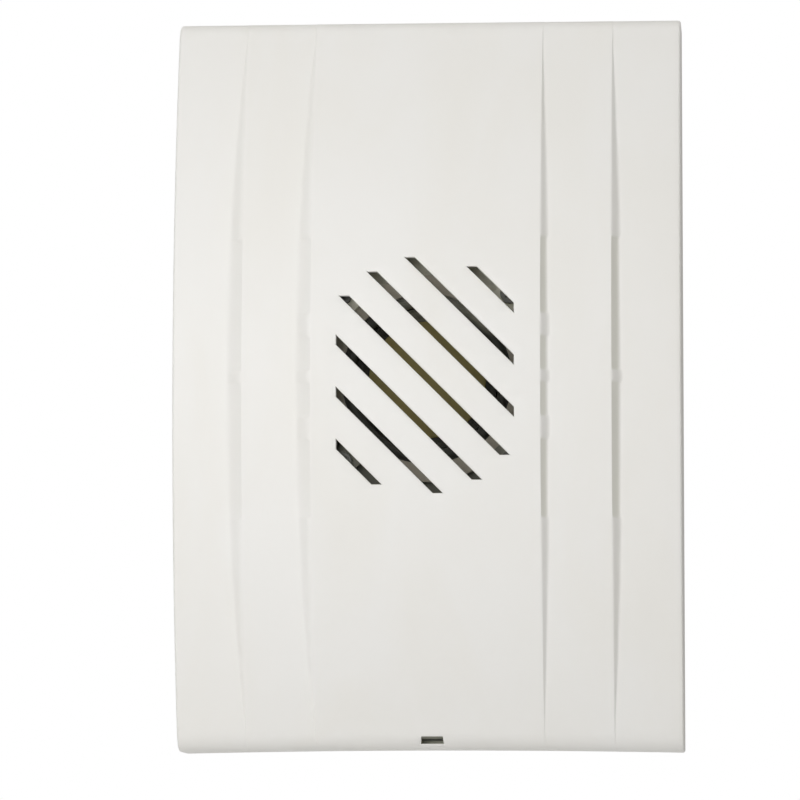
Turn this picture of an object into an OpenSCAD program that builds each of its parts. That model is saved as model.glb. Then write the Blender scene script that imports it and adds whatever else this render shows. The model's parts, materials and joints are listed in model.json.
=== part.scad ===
// Doorbell chime box: a wall-hung electronic chime with a loudspeaker behind a slotted cover.
// Millimetres. X runs to the right seen from the front and Z runs up. The wall is the plane y = 0
// and the front faces -Y. A depth is a distance in front of the wall.

/* [Cover] */
// width of the cover
cover_width = 130; // [122:1:140]
// height of the cover
cover_height = 189; // [182:1:200]
// depth of the two outer panels at mid-height
outer_depth = 38; // [37:0.5:42]
// rise of each panel over the one outside it, at mid-height
panel_step = 2.8; // [2.4:0.1:3.6]
// depth at which the panels run together at the top and bottom
end_depth = 23.2; // [21:0.2:25]
// half width of the centre panel at its crest
centre_half = 29.2; // [27:0.1:32]
// half width over the middle panels at their crest
middle_half = 47; // [44:0.5:50]
// slope of the step faces that look to the left, against the panels, in degrees
left_slope = 38; // [34:1:46]
// slope of the step faces that look to the right, against the panels, in degrees
right_slope = 57; // [50:1:64]
// thickness of the cover
cover_wall = 2.2; // [1.8:0.1:2.6]
// thickness of the top and bottom walls
end_wall = 2.4; // [2:0.1:2.8]
// radius of the rolled top and bottom edges
roll_radius = 6.5; // [5.5:0.5:8]
// gap between the rim of the cover and the wall
rim_gap = 2.2; // [1.8:0.1:3]

/* [Grille] */
// distance between the slanted slots, across them
slot_pitch = 9.4; // [8:0.1:11]
// width of a slanted slot
slot_width = 1.8; // [1.2:0.1:2.6]
// radius of the circle in which the slots end
grille_radius = 30.1; // [28:0.1:31]
// half width of the slotted field
grille_half = 22.6; // [20:0.1:25]
// height of the top end of the flats in the step faces above the middle
flat_reach = 35.8; // [30:0.2:40]
// depth of the flats below the step faces
flat_depth = 0.4; // [0.3:0.1:0.6]
// half height of the bridge in the middle of the flats
flat_bridge = 1.5; // [1:0.1:3]
// inner and outer height of the second bridge in the inner flats
inner_bridge = [10.2, 16]; // [8:0.2:20]

/* [Cover hinge and catch] */
// radius of the hinge pins
pin_radius = 1.8; // [1.4:0.1:2]
// depth of the hinge pins
hinge_depth = 8.5; // [8.2:0.1:9.5]
// distance of the hinge pins from the middle
hinge_x = 48; // [46:0.5:52]
// width of a hinge arm
arm_width = 6; // [5:0.5:7]
// thickness of a hinge lug of the cover
lug_width = 3; // [2:0.5:3.5]
// running clearance of the pins in the lugs
pin_play = 0.1; // [0.05:0.01:0.1]
// width of the release slot
release_width = 5.6; // [4:0.2:8]
// height of the release slot
release_height = 2.8; // [2:0.1:3.2]
// distance of the release slot from the middle, to the right
release_x = 0.6; // [0:0.1:1]
// lean of the release slot below the level, in degrees
release_lean = 50; // [45:1:52]
// width of the catch
catch_width = 10; // [8:0.5:14]
// length of the catch from its root to its nose
catch_length = 11; // [10:0.5:12]
// thickness of the catch
catch_thick = 1.6; // [1.2:0.1:2]
// height by which the catch holds the rib of the cover
catch_hold = 1.1; // [0.8:0.1:1.4]

/* [Base] */
// thickness of the base floor
floor_thick = 2.5; // [2:0.1:3]
// depth of the rim of the base
rim_depth = 7; // [5:0.5:8]
// thickness of the rim of the base
rim_thick = 2; // [1.5:0.1:2.5]
// gap between the base and the cover
base_gap = 0.5; // [0.4:0.1:0.8]
// distance between the wall screws along X
wall_screw_x = 108; // [100:1:110]
// distance between the wall screws along Z
wall_screw_z = 132; // [128:1:136]
// radius of the holes for the wall screws
wall_hole_radius = 2.25; // [2:0.05:2.6]
// radius of the bore in the cable grommet
cable_radius = 3.75; // [3:0.05:4]

/* [Loudspeaker] */
// outer radius of the loudspeaker
speaker_radius = 26.5; // [25:0.1:28]
// distance of the loudspeaker behind the front of the cover
speaker_setback = 8; // [6:0.5:9]
// inner radius of the gasket ring
gasket_inner = 21.8; // [21.5:0.1:23]
// thickness of the gasket ring
gasket_thick = 1.2; // [0.8:0.1:1.6]
// thickness of the basket sheet
sheet = 0.8; // [0.6:0.1:1]
// depth of the basket behind its flange
basket_depth = 8; // [7:0.5:9]
// height of the baffle that the loudspeaker sits on
baffle_height = 66; // [64:1:70]
// thickness of the baffle
baffle_thick = 2; // [1.6:0.1:2.4]
// radius of the dust cap
cap_radius = 15.2; // [13.5:0.1:16]
// radius of the pole
pole_radius = 9.25; // [8.5:0.05:9.5]
// thickness of the magnet
magnet_thick = 6; // [4:0.5:7]
// outer radius of the magnet
magnet_radius = 20; // [18:0.5:22]
// thickness of the pole and top plates
plate_thick = 2.5; // [2:0.1:3]
// radial gap on each side of the voice coil
coil_gap = 0.4; // [0.3:0.05:0.5]
// travel of the cone each way
cone_travel = 0.6; // [0.4:0.1:0.7]

/* [Mains parts] */
// width of the transformer core
core_width = 40; // [38:1:42]
// height of the transformer core
core_height = 33; // [32:1:36]
// thickness of the stack of core sheets
core_stack = 12; // [10:0.5:12]
// depth of the winding on each side of the core
winding_bulge = 6.2; // [5:0.1:6.2]
// distance of the transformer from the middle, to the left
core_x = 31; // [29:0.5:33]
// distance of the transformer below the top of the base
core_drop = 29; // [27:0.5:31]
// width of the terminal block
terminal_width = 22; // [21:0.5:24]
// length of the terminal block
terminal_length = 20; // [18:1:21]
// depth of the terminal block
terminal_depth = 14; // [13:0.5:15]
// distance of the terminal block below the top of the base
terminal_drop = 23; // [22:0.5:24]
// distance of the terminal block and the cable entry from the middle, to the right
entry_x = 36; // [34:0.5:38]
// distance of the cable entry below the top of the base
entry_drop = 49; // [48:0.5:51]
// distance of the cable clamp below the top of the base
clamp_drop = 38; // [37.5:0.5:39]
// radius of an insulated lead
lead_radius = 0.9; // [0.6:0.05:1]

/* [Circuit board] */
// width of the circuit board
board_width = 88; // [84:1:94]
// height of the circuit board
board_height = 40; // [39:1:42]
// thickness of the circuit board
board_thick = 1.6; // [1.2:0.1:2]
// height of the middle of the circuit board above the bottom of the base
board_rise = 34.1; // [33:0.1:35]
// depth of the posts under the circuit board
board_post = 6; // [5:0.5:7]
// radius of the smoothing capacitor
capacitor_radius = 5; // [4:0.5:5.5]
// height of the smoothing capacitor
capacitor_height = 14; // [11:0.5:16]
// side of the volume trimmer
trimmer_side = 10; // [9:0.5:11]

/* [Hidden] */
$fn = 48;
half_w = cover_width / 2;
half_h = cover_height / 2;
meet_z = half_h - 2;
left_run = 1 / tan(left_slope);
right_run = 1 / tan(right_slope);
left_inset = cover_wall * tan(left_slope / 2);
right_inset = cover_wall * tan(right_slope / 2);
centre_depth = outer_depth + 2 * panel_step;
hinge_z = half_h - 5;
lug_side = 0.4;
lug_reach = 4;
base_half = half_w - cover_wall - base_gap;
base_bottom = -(half_h - end_wall - base_gap);
base_top = hinge_z - 4;
catch_root = floor_thick + 1.6;
catch_z = -(half_h - end_wall) + 4.4;
rib_top = catch_z - catch_thick / 2 - 1;
nose_low = rib_top - catch_hold;
nose_depth = catch_root + catch_length - 2;
rib_gap = 0.5;
rib_depth = 3.5;
screw_radius = 1.25;
pilot_play = 0.05;
pilot_depth = 5;
head_radius = 2.5;
head_height = 1.6;
joint_gap = 0.3;
gasket_front = centre_depth - speaker_setback;
flange_front = gasket_front - gasket_thick;
flange_back = flange_front - sheet;
basket_floor = flange_back - basket_depth;
top_plate_back = basket_floor - sheet - plate_thick;
magnet_back = top_plate_back - magnet_thick;
former_in = pole_radius + coil_gap;
former_out = former_in + 0.3;
coil_out = former_out + 0.4;
plate_bore = coil_out + coil_gap;
coil_length = 3.6;
spider_in = coil_out + 0.35;
basket_neck = spider_in + 4.4;
flange_inner = gasket_inner - 0.3;
roll_centre = flange_inner - 1.6;
roll_out = 1.5;
cone_edge = roll_centre - roll_out - joint_gap;
cone_neck_depth = basket_floor + 2 + cone_travel;
cone_edge_depth = flange_front - 0.2;
cone_thick = 0.6;
cap_rise = 2.4;
cone_rise = (cone_edge_depth - cone_neck_depth) / (cone_edge - former_out);
cap_seat = cone_neck_depth + cone_rise * (cap_radius - former_out);
cap_ball = (cap_radius * cap_radius + cap_rise * cap_rise) / (2 * cap_rise);
post_foot = 5;
post_neck = 3.5;
post_circle = speaker_radius + joint_gap + post_neck;
baffle_back = flange_back - baffle_thick;
baffle_half = post_circle / sqrt(2) + post_foot + 0.4;
baffle_bore = flange_inner + 0.4 + joint_gap;
baffle_play = 0.2;
tag_z = -(gasket_inner + speaker_radius) / 2;
tag_half = 7;
core_at = [-core_x, base_top - core_drop];
core_back = floor_thick + winding_bulge + 0.3;
core_front = core_back + core_stack;
core_leg = 12;
window_width = 7;
window_height = core_height - 11.6;
bobbin_wall = 1;
bobbin_play = 0.2;
coil_lead_depth = core_front + winding_bulge / 2;
core_hole_x = core_width / 2 - 3;
core_hole_z = core_height / 2 - 2.8;
terminal_at = [entry_x, base_top - terminal_drop];
terminal_pitch = 12.4;
tube_radius = 3;
tube_bore = 1.7;
clamp_screw_z = 5;
way_depth = floor_thick + 5.5;
entry_at = [entry_x, base_top - entry_drop];
entry_radius = cable_radius + 2.25;
clamp_z = base_top - clamp_drop;
clamp_span = 22;
clamp_post = 6;
clamp_front = floor_thick + clamp_post;
clamp_thick = 3;
clamp_edge = 4;
board_z = base_bottom + board_rise;
board_back = floor_thick + board_post;
board_front = board_back + board_thick;
board_top = board_z + board_height / 2;
board_screw_x = board_width / 2 - 4;
board_screw_z = board_height / 2 - 4;
upper_row = board_z + 7;
lower_row = board_z - 8.5;
smoothing_x = -24;
coupling_x = [4, 20];
coupling_radius = 3.15;
coupling_height = 7;
diode_x = [-14, -10, -6, -2];
diode_radius = 1.35;
diode_length = 5.2;
resistor_upper_x = [12, 16];
resistor_lower_x = [26, 30, 34];
resistor_radius = 1.15;
resistor_length = 6.3;
transistor_at = [-34, lower_row];
transistor_radius = 2.4;
transistor_lift = 3;
chip_at = [9, lower_row];
chip_half = 3.2;
chip_reach = 4.8;
leg_pitch = 2.54;
trimmer_at = [32, board_z + 5];
rotor_front = board_front + 5.6;
bend = 3;
primary_spread = 5;
primary_x = [core_at[0] + primary_spread, core_at[0] - primary_spread];
primary_rise = [1, 3.6];
secondary_offset = [7, 3];
secondary_x = [core_at[0] - secondary_offset[0], core_at[0] - secondary_offset[1]];
secondary_over = 4;
pad_inset = 5;
speaker_lead_x = [-4, 4];
wire_radius = 0.4;

function panel_depth(i) = outer_depth + i * panel_step;
function panel_rise(i) = panel_depth(i) - end_depth;
function bow_radius(i) = (meet_z * meet_z + panel_rise(i) * panel_rise(i)) / (2 * panel_rise(i));
function bow_axis(i) = panel_depth(i) - bow_radius(i);
function roll_depth(i) = bow_axis(i) - 0.02
    + sqrt(pow(bow_radius(i) - roll_radius, 2) - pow(half_h - roll_radius, 2));
function slot_end(k) = let (p = k * slot_pitch - slot_width / 2)
    (p + sqrt(grille_radius * grille_radius - p * p)) / sqrt(2);

// a box between two corners, the middle pair being depths
module block(x, d, z) {
    translate([x[0], -d[1], z[0]])
        cube([x[1] - x[0], d[1] - d[0], z[1] - z[0]]);
}

// a round bar that stands on the wall side, between two depths
module bar(at, r, d) {
    translate([at[0], -d[0], at[1]])
        rotate([90, 0, 0])
            cylinder(r = r, h = d[1] - d[0]);
}

// a profile in y and z drawn out along X
module along_x(x) {
    translate([x[0], 0, 0])
        rotate([90, 0, 90])
            linear_extrude(x[1] - x[0])
                children();
}

// a profile in radius and depth turned about an axis that points at the wall
module turned(at) {
    translate([at[0], 0, at[1]])
        rotate([90, 0, 0])
            rotate_extrude()
                children();
}

// a profile in radius and x turned about the bow axis of a panel
module bowed(i) {
    translate([0, -bow_axis(i), 0])
        rotate([0, 90, 0])
            rotate_extrude($fn = 180)
                children();
}

// what the rolled edge takes off the corner of a panel
module roll_corner(i) {
    y = -roll_depth(i);
    z = half_h - roll_radius;
    far = 3 * roll_radius;
    away = sqrt(pow(y + bow_axis(i), 2) + z * z);
    difference() {
        polygon([[y, z], [y, z + far], [y - far, z + far],
            [y + far * (y + bow_axis(i)) / away, z + far * z / away]]);
        translate([y, z])
            circle(roll_radius);
    }
}

// a raised panel with sloped sides and rolled ends
module raised_panel(i, half) {
    low = 8;
    difference() {
        intersection() {
            bowed(i)
                polygon([[bow_radius(i), -half], [bow_radius(i), half],
                    [bow_radius(i) - low, half + low * right_run],
                    [bow_radius(i) - low, -half - low * left_run]]);
            block([-half_w, half_w], [6, 60], [-half_h, half_h]);
        }
        along_x([-half_w, half_w])
            roll_corner(i);
        mirror([0, 0, 1])
            along_x([-half_w, half_w])
                roll_corner(i);
    }
}

// the space under a raised panel
module panel_hollow(i, half) {
    top = bow_radius(i) - cover_wall;
    low = 8;
    left = half - left_inset;
    right = half - right_inset;
    intersection() {
        bowed(i)
            polygon([[top, -left], [top, right], [top - low, right + low * right_run],
                [top - low, -left - low * left_run]]);
        block([-half_w, half_w], [6, 60], [-half_h * 0.85, half_h * 0.85]);
    }
}

// flats let into both step faces of a raised panel, down to the panel below
module step_flats(i, half, ranges) {
    r = bow_radius(i);
    low = panel_step + 1;
    left = half - flat_depth / sin(left_slope);
    right = half - flat_depth / sin(right_slope);
    for (z = ranges)
        intersection() {
            difference() {
                bowed(i)
                    polygon([[r + 1, right - right_run], [r + 1, half + 9], [r - low, half + 9],
                        [r - low, right + low * right_run]]);
                bowed(i - 1)
                    translate([0, -half_w])
                        square([bow_radius(i - 1) + 0.05, cover_width]);
            }
            block([0, half_w], [20, 60], z);
        }
    for (z = ranges)
        intersection() {
            difference() {
                bowed(i)
                    polygon([[r + 1, -left + left_run], [r + 1, -half - 9], [r - low, -half - 9],
                        [r - low, -left - low * left_run]]);
                bowed(i - 1)
                    translate([0, -half_w])
                        square([bow_radius(i - 1) + 0.05, cover_width]);
            }
            block([-half_w, 0], [20, 60], z);
        }
}

// the slanted slots
module grille_slots() {
    for (k = [-3:3])
        translate([0, -20, 0])
            rotate([90, 0, 0])
                linear_extrude(40)
                    intersection() {
                        rotate(-45)
                            translate([-60, k * slot_pitch - slot_width / 2])
                                square([120, slot_width]);
                        translate([-grille_half, -slot_end(-k)])
                            square([2 * grille_half, slot_end(k) + slot_end(-k)]);
                    }
}

// a hinge lug of the cover, hooked over the pin from above
module hinge_lug(x) {
    difference() {
        block([x, x + lug_width], [hinge_depth - lug_reach, hinge_depth + lug_reach],
            [hinge_z - 2.5, half_h - end_wall / 2]);
        translate([x - 1, -hinge_depth, hinge_z])
            rotate([0, 90, 0])
                cylinder(r = pin_radius + pin_play, h = lug_width + 2);
        block([x - 1, x + lug_width + 1],
            [hinge_depth - pin_radius - pin_play, hinge_depth + pin_radius + pin_play],
            [hinge_z - 6, hinge_z]);
    }
}

module front_cover() {
    flats = [[flat_bridge, flat_reach], [-flat_reach, -flat_bridge]];
    short_flats = [[flat_bridge, inner_bridge[0]], [inner_bridge[1], flat_reach],
        [-inner_bridge[0], -flat_bridge], [-flat_reach, -inner_bridge[1]]];
    release_z = -(half_h - roll_radius) - roll_radius * sin(release_lean);
    release_depth = roll_depth(0) + roll_radius * cos(release_lean);
    color("whitesmoke")
        difference() {
            union() {
                difference() {
                    union() {
                        along_x([-half_w, half_w])
                            difference() {
                                intersection() {
                                    translate([-bow_axis(0), 0])
                                        circle(bow_radius(0), $fn = 180);
                                    translate([-60, -half_h])
                                        square([60 - rim_gap, cover_height]);
                                }
                                roll_corner(0);
                                mirror([0, 1])
                                    roll_corner(0);
                            }
                        raised_panel(1, middle_half);
                        raised_panel(2, centre_half);
                    }
                    along_x([-half_w + cover_wall, half_w - cover_wall])
                        intersection() {
                            translate([-bow_axis(0), 0])
                                circle(bow_radius(0) - cover_wall, $fn = 180);
                            translate([-60, -half_h + end_wall])
                                square([60, cover_height - 2 * end_wall]);
                        }
                    panel_hollow(1, middle_half);
                    panel_hollow(2, centre_half);
                }
                for (side = [-1, 1]) {
                    hinge_lug(side * hinge_x + arm_width / 2 + lug_side);
                    hinge_lug(side * hinge_x - arm_width / 2 - lug_side - lug_width);
                }
                block([-catch_width / 2 - 2, catch_width / 2 + 2],
                    [nose_depth - rib_gap - rib_depth, nose_depth - rib_gap],
                    [-half_h + end_wall / 2, rib_top]);
            }
            grille_slots();
            step_flats(1, middle_half, flats);
            step_flats(2, centre_half, short_flats);
            translate([release_x, -release_depth, release_z])
                rotate([release_lean, 0, 0])
                    translate([-release_width / 2, -6, -release_height / 2])
                        cube([release_width, 12, release_height]);
        }
}

// the pilot hole of a screw in the end of a post
module pilot(at, top) {
    bar(at, screw_radius + pilot_play, [top - pilot_depth - 0.5, top + 1]);
}

// a round post on the base floor, with a pilot hole
module post(at, r, top) {
    difference() {
        bar(at, r, [floor_thick, top]);
        pilot(at, top);
    }
}

// places of the speaker posts
module each_post() {
    for (a = [45:90:315])
        rotate([0, a, 0])
            translate([post_circle, 0, 0])
                children();
}

module base_plate() {
    color("gainsboro")
        difference() {
            union() {
                block([-base_half, base_half], [0, floor_thick], [base_bottom, base_top]);
                for (side = [-1, 1]) {
                    arm = [side * hinge_x - arm_width / 2, side * hinge_x + arm_width / 2];
                    block(side > 0 ? [base_half - rim_thick, base_half] : [-base_half, rim_thick - base_half],
                        [floor_thick - 0.5, rim_depth], [base_bottom, base_top]);
                    block(arm, [floor_thick - 0.5, hinge_depth + pin_radius], [base_top - 6, base_top - 0.5]);
                    block(arm, [hinge_depth - pin_radius, hinge_depth + pin_radius], [base_top - 2, hinge_z]);
                    translate([arm[0] - lug_side - lug_width, -hinge_depth, hinge_z])
                        rotate([0, 90, 0])
                            cylinder(r = pin_radius, h = arm_width + 2 * (lug_side + lug_width));
                }
                block([-base_half, base_half], [floor_thick - 0.5, rim_depth],
                    [base_bottom, base_bottom + rim_thick]);
            }
            for (x = [-1, 1])
                for (z = [-1, 1])
                    bar([x * wall_screw_x / 2, z * wall_screw_z / 2], wall_hole_radius,
                        [-1, floor_thick + 1]);
            bar(entry_at, entry_radius, [-1, floor_thick + 1]);
            bar(terminal_at, screw_radius + pilot_play, [-1, floor_thick + 1]);
        }
}

module mounting_posts() {
    color("gainsboro")
        for (x = [-1, 1]) {
            for (z = [-1, 1]) {
                post([x * board_screw_x, board_z + z * board_screw_z], 3.2, board_back);
                post(core_at + [x * core_hole_x, z * core_hole_z], 3, core_back);
            }
            post([entry_at[0] + x * clamp_span / 2, clamp_z], 3.5, clamp_front);
        }
}

module speaker_posts() {
    color("gainsboro")
        each_post()
            difference() {
                union() {
                    bar([0, 0], post_foot, [floor_thick, baffle_back]);
                    bar([0, 0], post_neck, [baffle_back - 1, gasket_front]);
                }
                pilot([0, 0], gasket_front);
            }
}

// the plate behind the rim of the loudspeaker, with a notch for its tags
module speaker_baffle() {
    color("darkkhaki")
        difference() {
            block([-baffle_half, baffle_half], [baffle_back, flange_back],
                [-baffle_height / 2, baffle_height / 2]);
            bar([0, 0], baffle_bore, [baffle_back - 1, flange_back + 1]);
            block([-tag_half - 1, tag_half + 1], [baffle_back - 1, flange_back + 1], [tag_z - 1.6, 0]);
            each_post()
                bar([0, 0], post_neck + baffle_play, [baffle_back - 1, flange_back + 1]);
        }
}

module release_catch() {
    tip = catch_root + catch_length;
    low = catch_z - catch_thick / 2;
    color("silver")
        union() {
            translate([-catch_width / 2, -catch_root, catch_z])
                rotate([0, 90, 0])
                    cylinder(r = 1.3, h = catch_width);
            block([-catch_width / 2, catch_width / 2], [catch_root, tip], [low, low + catch_thick]);
            along_x([-catch_width / 2, catch_width / 2])
                polygon([[-nose_depth, low + 0.2], [-nose_depth, nose_low], [-nose_depth - 0.8, nose_low],
                    [-tip, low], [-tip, low + 0.2]]);
        }
}

module cable_grommet() {
    color("dimgray")
        turned(entry_at)
            union() {
                translate([cable_radius, 0])
                    square([entry_radius - 0.05 - cable_radius, floor_thick + 1]);
                translate([cable_radius, floor_thick])
                    square([entry_radius + 2 - cable_radius, 1.6]);
            }
}

module cable_clamp() {
    x = entry_at[0];
    d = clamp_front;
    reach = clamp_span / 2 + clamp_edge;
    color("gainsboro")
        difference() {
            union() {
                block([x - reach, x + reach], [d, d + clamp_thick],
                    [clamp_z - clamp_edge, clamp_z + clamp_edge]);
                block([x - 5, x + 5], [d - 1.2, d + 1], [clamp_z - 0.8, clamp_z + 0.8]);
            }
            for (side = [-1, 1])
                bar([x + side * clamp_span / 2, clamp_z], screw_radius + 0.3, [d - 2, d + clamp_thick + 1]);
        }
}

// a pan-head screw whose head rests at a depth, with a cross slot
module screw(at, seat, length) {
    difference() {
        union() {
            bar(at, screw_radius, [seat - length, seat + 0.2]);
            bar(at, head_radius, [seat, seat + head_height]);
        }
        block([at[0] - 1.6, at[0] + 1.6], [seat + head_height - 0.8, seat + head_height + 1],
            [at[1] - 0.3, at[1] + 0.3]);
        block([at[0] - 0.3, at[0] + 0.3], [seat + head_height - 0.8, seat + head_height + 1],
            [at[1] - 1.6, at[1] + 1.6]);
    }
}

module cable_clamp_screws() {
    color("silver")
        for (side = [-1, 1])
            screw([entry_at[0] + side * clamp_span / 2, clamp_z], clamp_front + clamp_thick,
                clamp_thick + pilot_depth - 1);
}

module terminal_body() {
    x = terminal_at[0];
    z = terminal_at[1];
    front = floor_thick + terminal_depth;
    color("ivory")
        difference() {
            block([x - terminal_width / 2, x + terminal_width / 2], [floor_thick, front],
                [z - terminal_length / 2, z + terminal_length / 2]);
            for (side = [-1, 1]) {
                translate([x + side * terminal_pitch / 2, -way_depth, z - terminal_length])
                    cylinder(r = tube_radius + 0.05, h = 2 * terminal_length);
                for (end = [-1, 1])
                    bar([x + side * terminal_pitch / 2, z + end * clamp_screw_z], 2.2,
                        [way_depth, front + 1]);
            }
            bar(terminal_at, screw_radius + 0.25, [0, front + 1]);
            bar(terminal_at, 2.7, [floor_thick + 4, front + 1]);
            block([x - 0.8, x + 0.8], [front - 3, front + 1], [z - terminal_length, z + terminal_length]);
        }
}

module terminal_tubes() {
    color("goldenrod")
        for (side = [-1, 1])
            translate([terminal_at[0] + side * terminal_pitch / 2, -way_depth,
                terminal_at[1] - terminal_length / 2 + 2])
                difference() {
                    cylinder(r = tube_radius, h = terminal_length - 4);
                    translate([0, 0, -1])
                        cylinder(r = tube_bore, h = terminal_length);
                    for (end = [-1, 1])
                        translate([0, 0, terminal_length / 2 - 2 + end * clamp_screw_z])
                            rotate([90, 0, 0])
                                cylinder(r = 1.55, h = 4);
                }
}

module terminal_screws() {
    color("silver")
        for (side = [-1, 1])
            for (end = [-1, 1]) {
                x = terminal_at[0] + side * terminal_pitch / 2;
                z = terminal_at[1] + end * clamp_screw_z;
                difference() {
                    union() {
                        bar([x, z], 1.5, [way_depth + 1, way_depth + 5]);
                        bar([x, z], 2.1, [way_depth + 4.5, way_depth + 6.5]);
                    }
                    block([x - 3, x + 3], [way_depth + 5.7, way_depth + 8], [z - 0.3, z + 0.3]);
                }
            }
}

module terminal_fixing_screw() {
    color("silver")
        screw(terminal_at, floor_thick + 4, 5.5);
}

module transformer_core() {
    x = core_at[0];
    z = core_at[1];
    color("dimgray")
        difference() {
            block([x - core_width / 2, x + core_width / 2], [core_back, core_front],
                [z - core_height / 2, z + core_height / 2]);
            for (side = [-1, 1])
                block(side > 0 ? [x + core_leg / 2, x + core_leg / 2 + window_width]
                    : [x - core_leg / 2 - window_width, x - core_leg / 2],
                    [core_back - 1, core_front + 1], [z - window_height / 2, z + window_height / 2]);
            for (a = [-1, 1])
                for (b = [-1, 1])
                    bar(core_at + [a * core_hole_x, b * core_hole_z], screw_radius + 0.3,
                        [core_back - 1, core_front + 1]);
        }
}

module transformer_bobbin() {
    x = core_at[0];
    z = core_at[1];
    in_x = core_leg / 2 + bobbin_play;
    out_x = core_leg / 2 + window_width - 0.3;
    half = window_height / 2 - bobbin_play;
    back = core_back - bobbin_play;
    front = core_front + bobbin_play;
    color("khaki")
        difference() {
            union() {
                block([x - in_x - bobbin_wall, x + in_x + bobbin_wall],
                    [back - bobbin_wall, front + bobbin_wall],
                    [z - half, z + half]);
                for (end = [-1, 1])
                    block([x - out_x, x + out_x],
                        [core_back - winding_bulge + 0.1, core_front + winding_bulge - 0.1],
                        end > 0 ? [z + half - bobbin_wall, z + half] : [z - half, z - half + bobbin_wall]);
            }
            block([x - in_x, x + in_x], [back, front], [z - half - 1, z + half + 1]);
        }
}

module transformer_winding() {
    x = core_at[0];
    z = core_at[1];
    in_x = core_leg / 2 + bobbin_play + bobbin_wall;
    out_x = core_leg / 2 + window_width - 0.8;
    back = core_back - bobbin_play - bobbin_wall;
    front = core_front + bobbin_play + bobbin_wall;
    half = window_height / 2 - bobbin_play - bobbin_wall;
    color("gold")
        difference() {
            block([x - out_x, x + out_x], [core_back - winding_bulge + 0.6, core_front + winding_bulge - 0.6],
                [z - half, z + half]);
            block([x - in_x, x + in_x], [back, front], [z - half - 1, z + half + 1]);
        }
}

module transformer_screws() {
    color("silver")
        for (a = [-1, 1])
            for (b = [-1, 1])
                screw(core_at + [a * core_hole_x, b * core_hole_z], core_front, core_stack + pilot_depth - 1);
}

// a lead made of straight runs and square bends, each step being a length and the roll of its bend
module lead(steps, i = 0) {
    cylinder(r = lead_radius, h = steps[i][0]);
    if (i < len(steps) - 1)
        translate([0, 0, steps[i][0]])
            rotate([0, 0, steps[i][1]]) {
                translate([bend, 0, 0])
                    rotate([90, 0, 180])
                        rotate_extrude(angle = 90)
                            translate([bend, 0])
                                circle(lead_radius);
                translate([bend, 0, bend])
                    rotate([0, 90, 0])
                        lead(steps, i + 1);
            }
}

module primary_leads() {
    start = terminal_at[1] + terminal_length / 2 - 4;
    flange = core_at[1] + window_height / 2 - bobbin_play;
    for (i = [0, 1]) {
        x = terminal_at[0] + (i - 0.5) * terminal_pitch;
        up = 4 + primary_rise[i];
        top = start + up + bend;
        color(i == 0 ? "saddlebrown" : "royalblue")
            translate([x, -way_depth, start])
                rotate([0, 0, 180])
                    lead([[up, 0], [x - primary_x[i] - 2 * bend, 90],
                        [coil_lead_depth - way_depth - 2 * bend, -90], [top - bend - flange, 0]]);
    }
}

module secondary_leads() {
    flange = core_at[1] - window_height / 2 + bobbin_play;
    low = floor_thick + lead_radius + 0.3;
    over = board_front + secondary_over;
    first = core_height / 2 - window_height / 2 + 1;
    edge = board_top + secondary_over;
    pad = board_top - pad_inset;
    for (i = [0, 1])
        color("red")
            translate([secondary_x[i], -coil_lead_depth, flange])
                rotate([180, 0, 90])
                    lead([[first, 0], [coil_lead_depth - low - 2 * bend, 180],
                        [flange - first - 2 * bend - edge, 0], [over - low - 2 * bend, 180],
                        [edge - pad - 2 * bend, 0], [over - bend - board_front, 0]]);
}

module speaker_leads() {
    start = tag_z - 1.1;
    pad = board_top - 4;
    lead_depth = flange_back - 5;
    for (i = [0, 1])
        color(i == 0 ? "red" : "black")
            translate([speaker_lead_x[i], -lead_depth, start])
                rotate([180, 0, 90])
                    lead([[start - pad - bend, 0], [lead_depth - bend - board_front, 0]]);
}

module circuit_board() {
    color("darkolivegreen")
        difference() {
            block([-board_width / 2, board_width / 2], [board_back, board_front],
                [board_z - board_height / 2, board_top]);
            for (x = [-1, 1])
                for (z = [-1, 1])
                    bar([x * board_screw_x, board_z + z * board_screw_z], screw_radius + 0.3,
                        [board_back - 1, board_front + 1]);
        }
}

module board_screws() {
    color("silver")
        for (x = [-1, 1])
            for (z = [-1, 1])
                screw([x * board_screw_x, board_z + z * board_screw_z], board_front,
                    board_thick + pilot_depth - 1);
}

module smoothing_capacitor() {
    color("midnightblue")
        turned([smoothing_x, upper_row])
            difference() {
                translate([0, board_front])
                    square([capacitor_radius, capacitor_height]);
                translate([capacitor_radius + 0.6, board_front + 1.8])
                    circle(1);
                translate([0, board_front + capacitor_height - 0.4])
                    square([capacitor_radius - 0.8, 1]);
            }
}

module coupling_capacitors() {
    color("midnightblue")
        for (i = [0, 1])
            turned([coupling_x[i], i == 0 ? upper_row : lower_row])
                difference() {
                    translate([0, board_front])
                        square([coupling_radius, coupling_height]);
                    translate([coupling_radius + 0.5, board_front + 1.3])
                        circle(0.8);
                    translate([0, board_front + coupling_height - 0.3])
                        square([coupling_radius - 0.75, 1]);
                }
}

// a small part with a wire at each end, lying along Z above the board
module axial_part(at, r, length) {
    lift = board_front + r + 0.6;
    span = length / 2 + 2.2;
    union() {
        translate([at[0], -lift, at[1] - length / 2])
            cylinder(r = r, h = length);
        translate([at[0], -lift, at[1] - span - wire_radius])
            cylinder(r = wire_radius, h = 2 * (span + wire_radius));
        for (end = [-1, 1])
            bar([at[0], at[1] + end * span], wire_radius, [board_front, lift]);
    }
}

module rectifier_diodes() {
    color("black")
        for (x = diode_x)
            axial_part([x, lower_row], diode_radius, diode_length);
}

module resistors() {
    color("tan")
        union() {
            for (x = resistor_upper_x)
                axial_part([x, upper_row], resistor_radius, resistor_length);
            for (x = resistor_lower_x)
                axial_part([x, lower_row], resistor_radius, resistor_length);
        }
}

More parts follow.
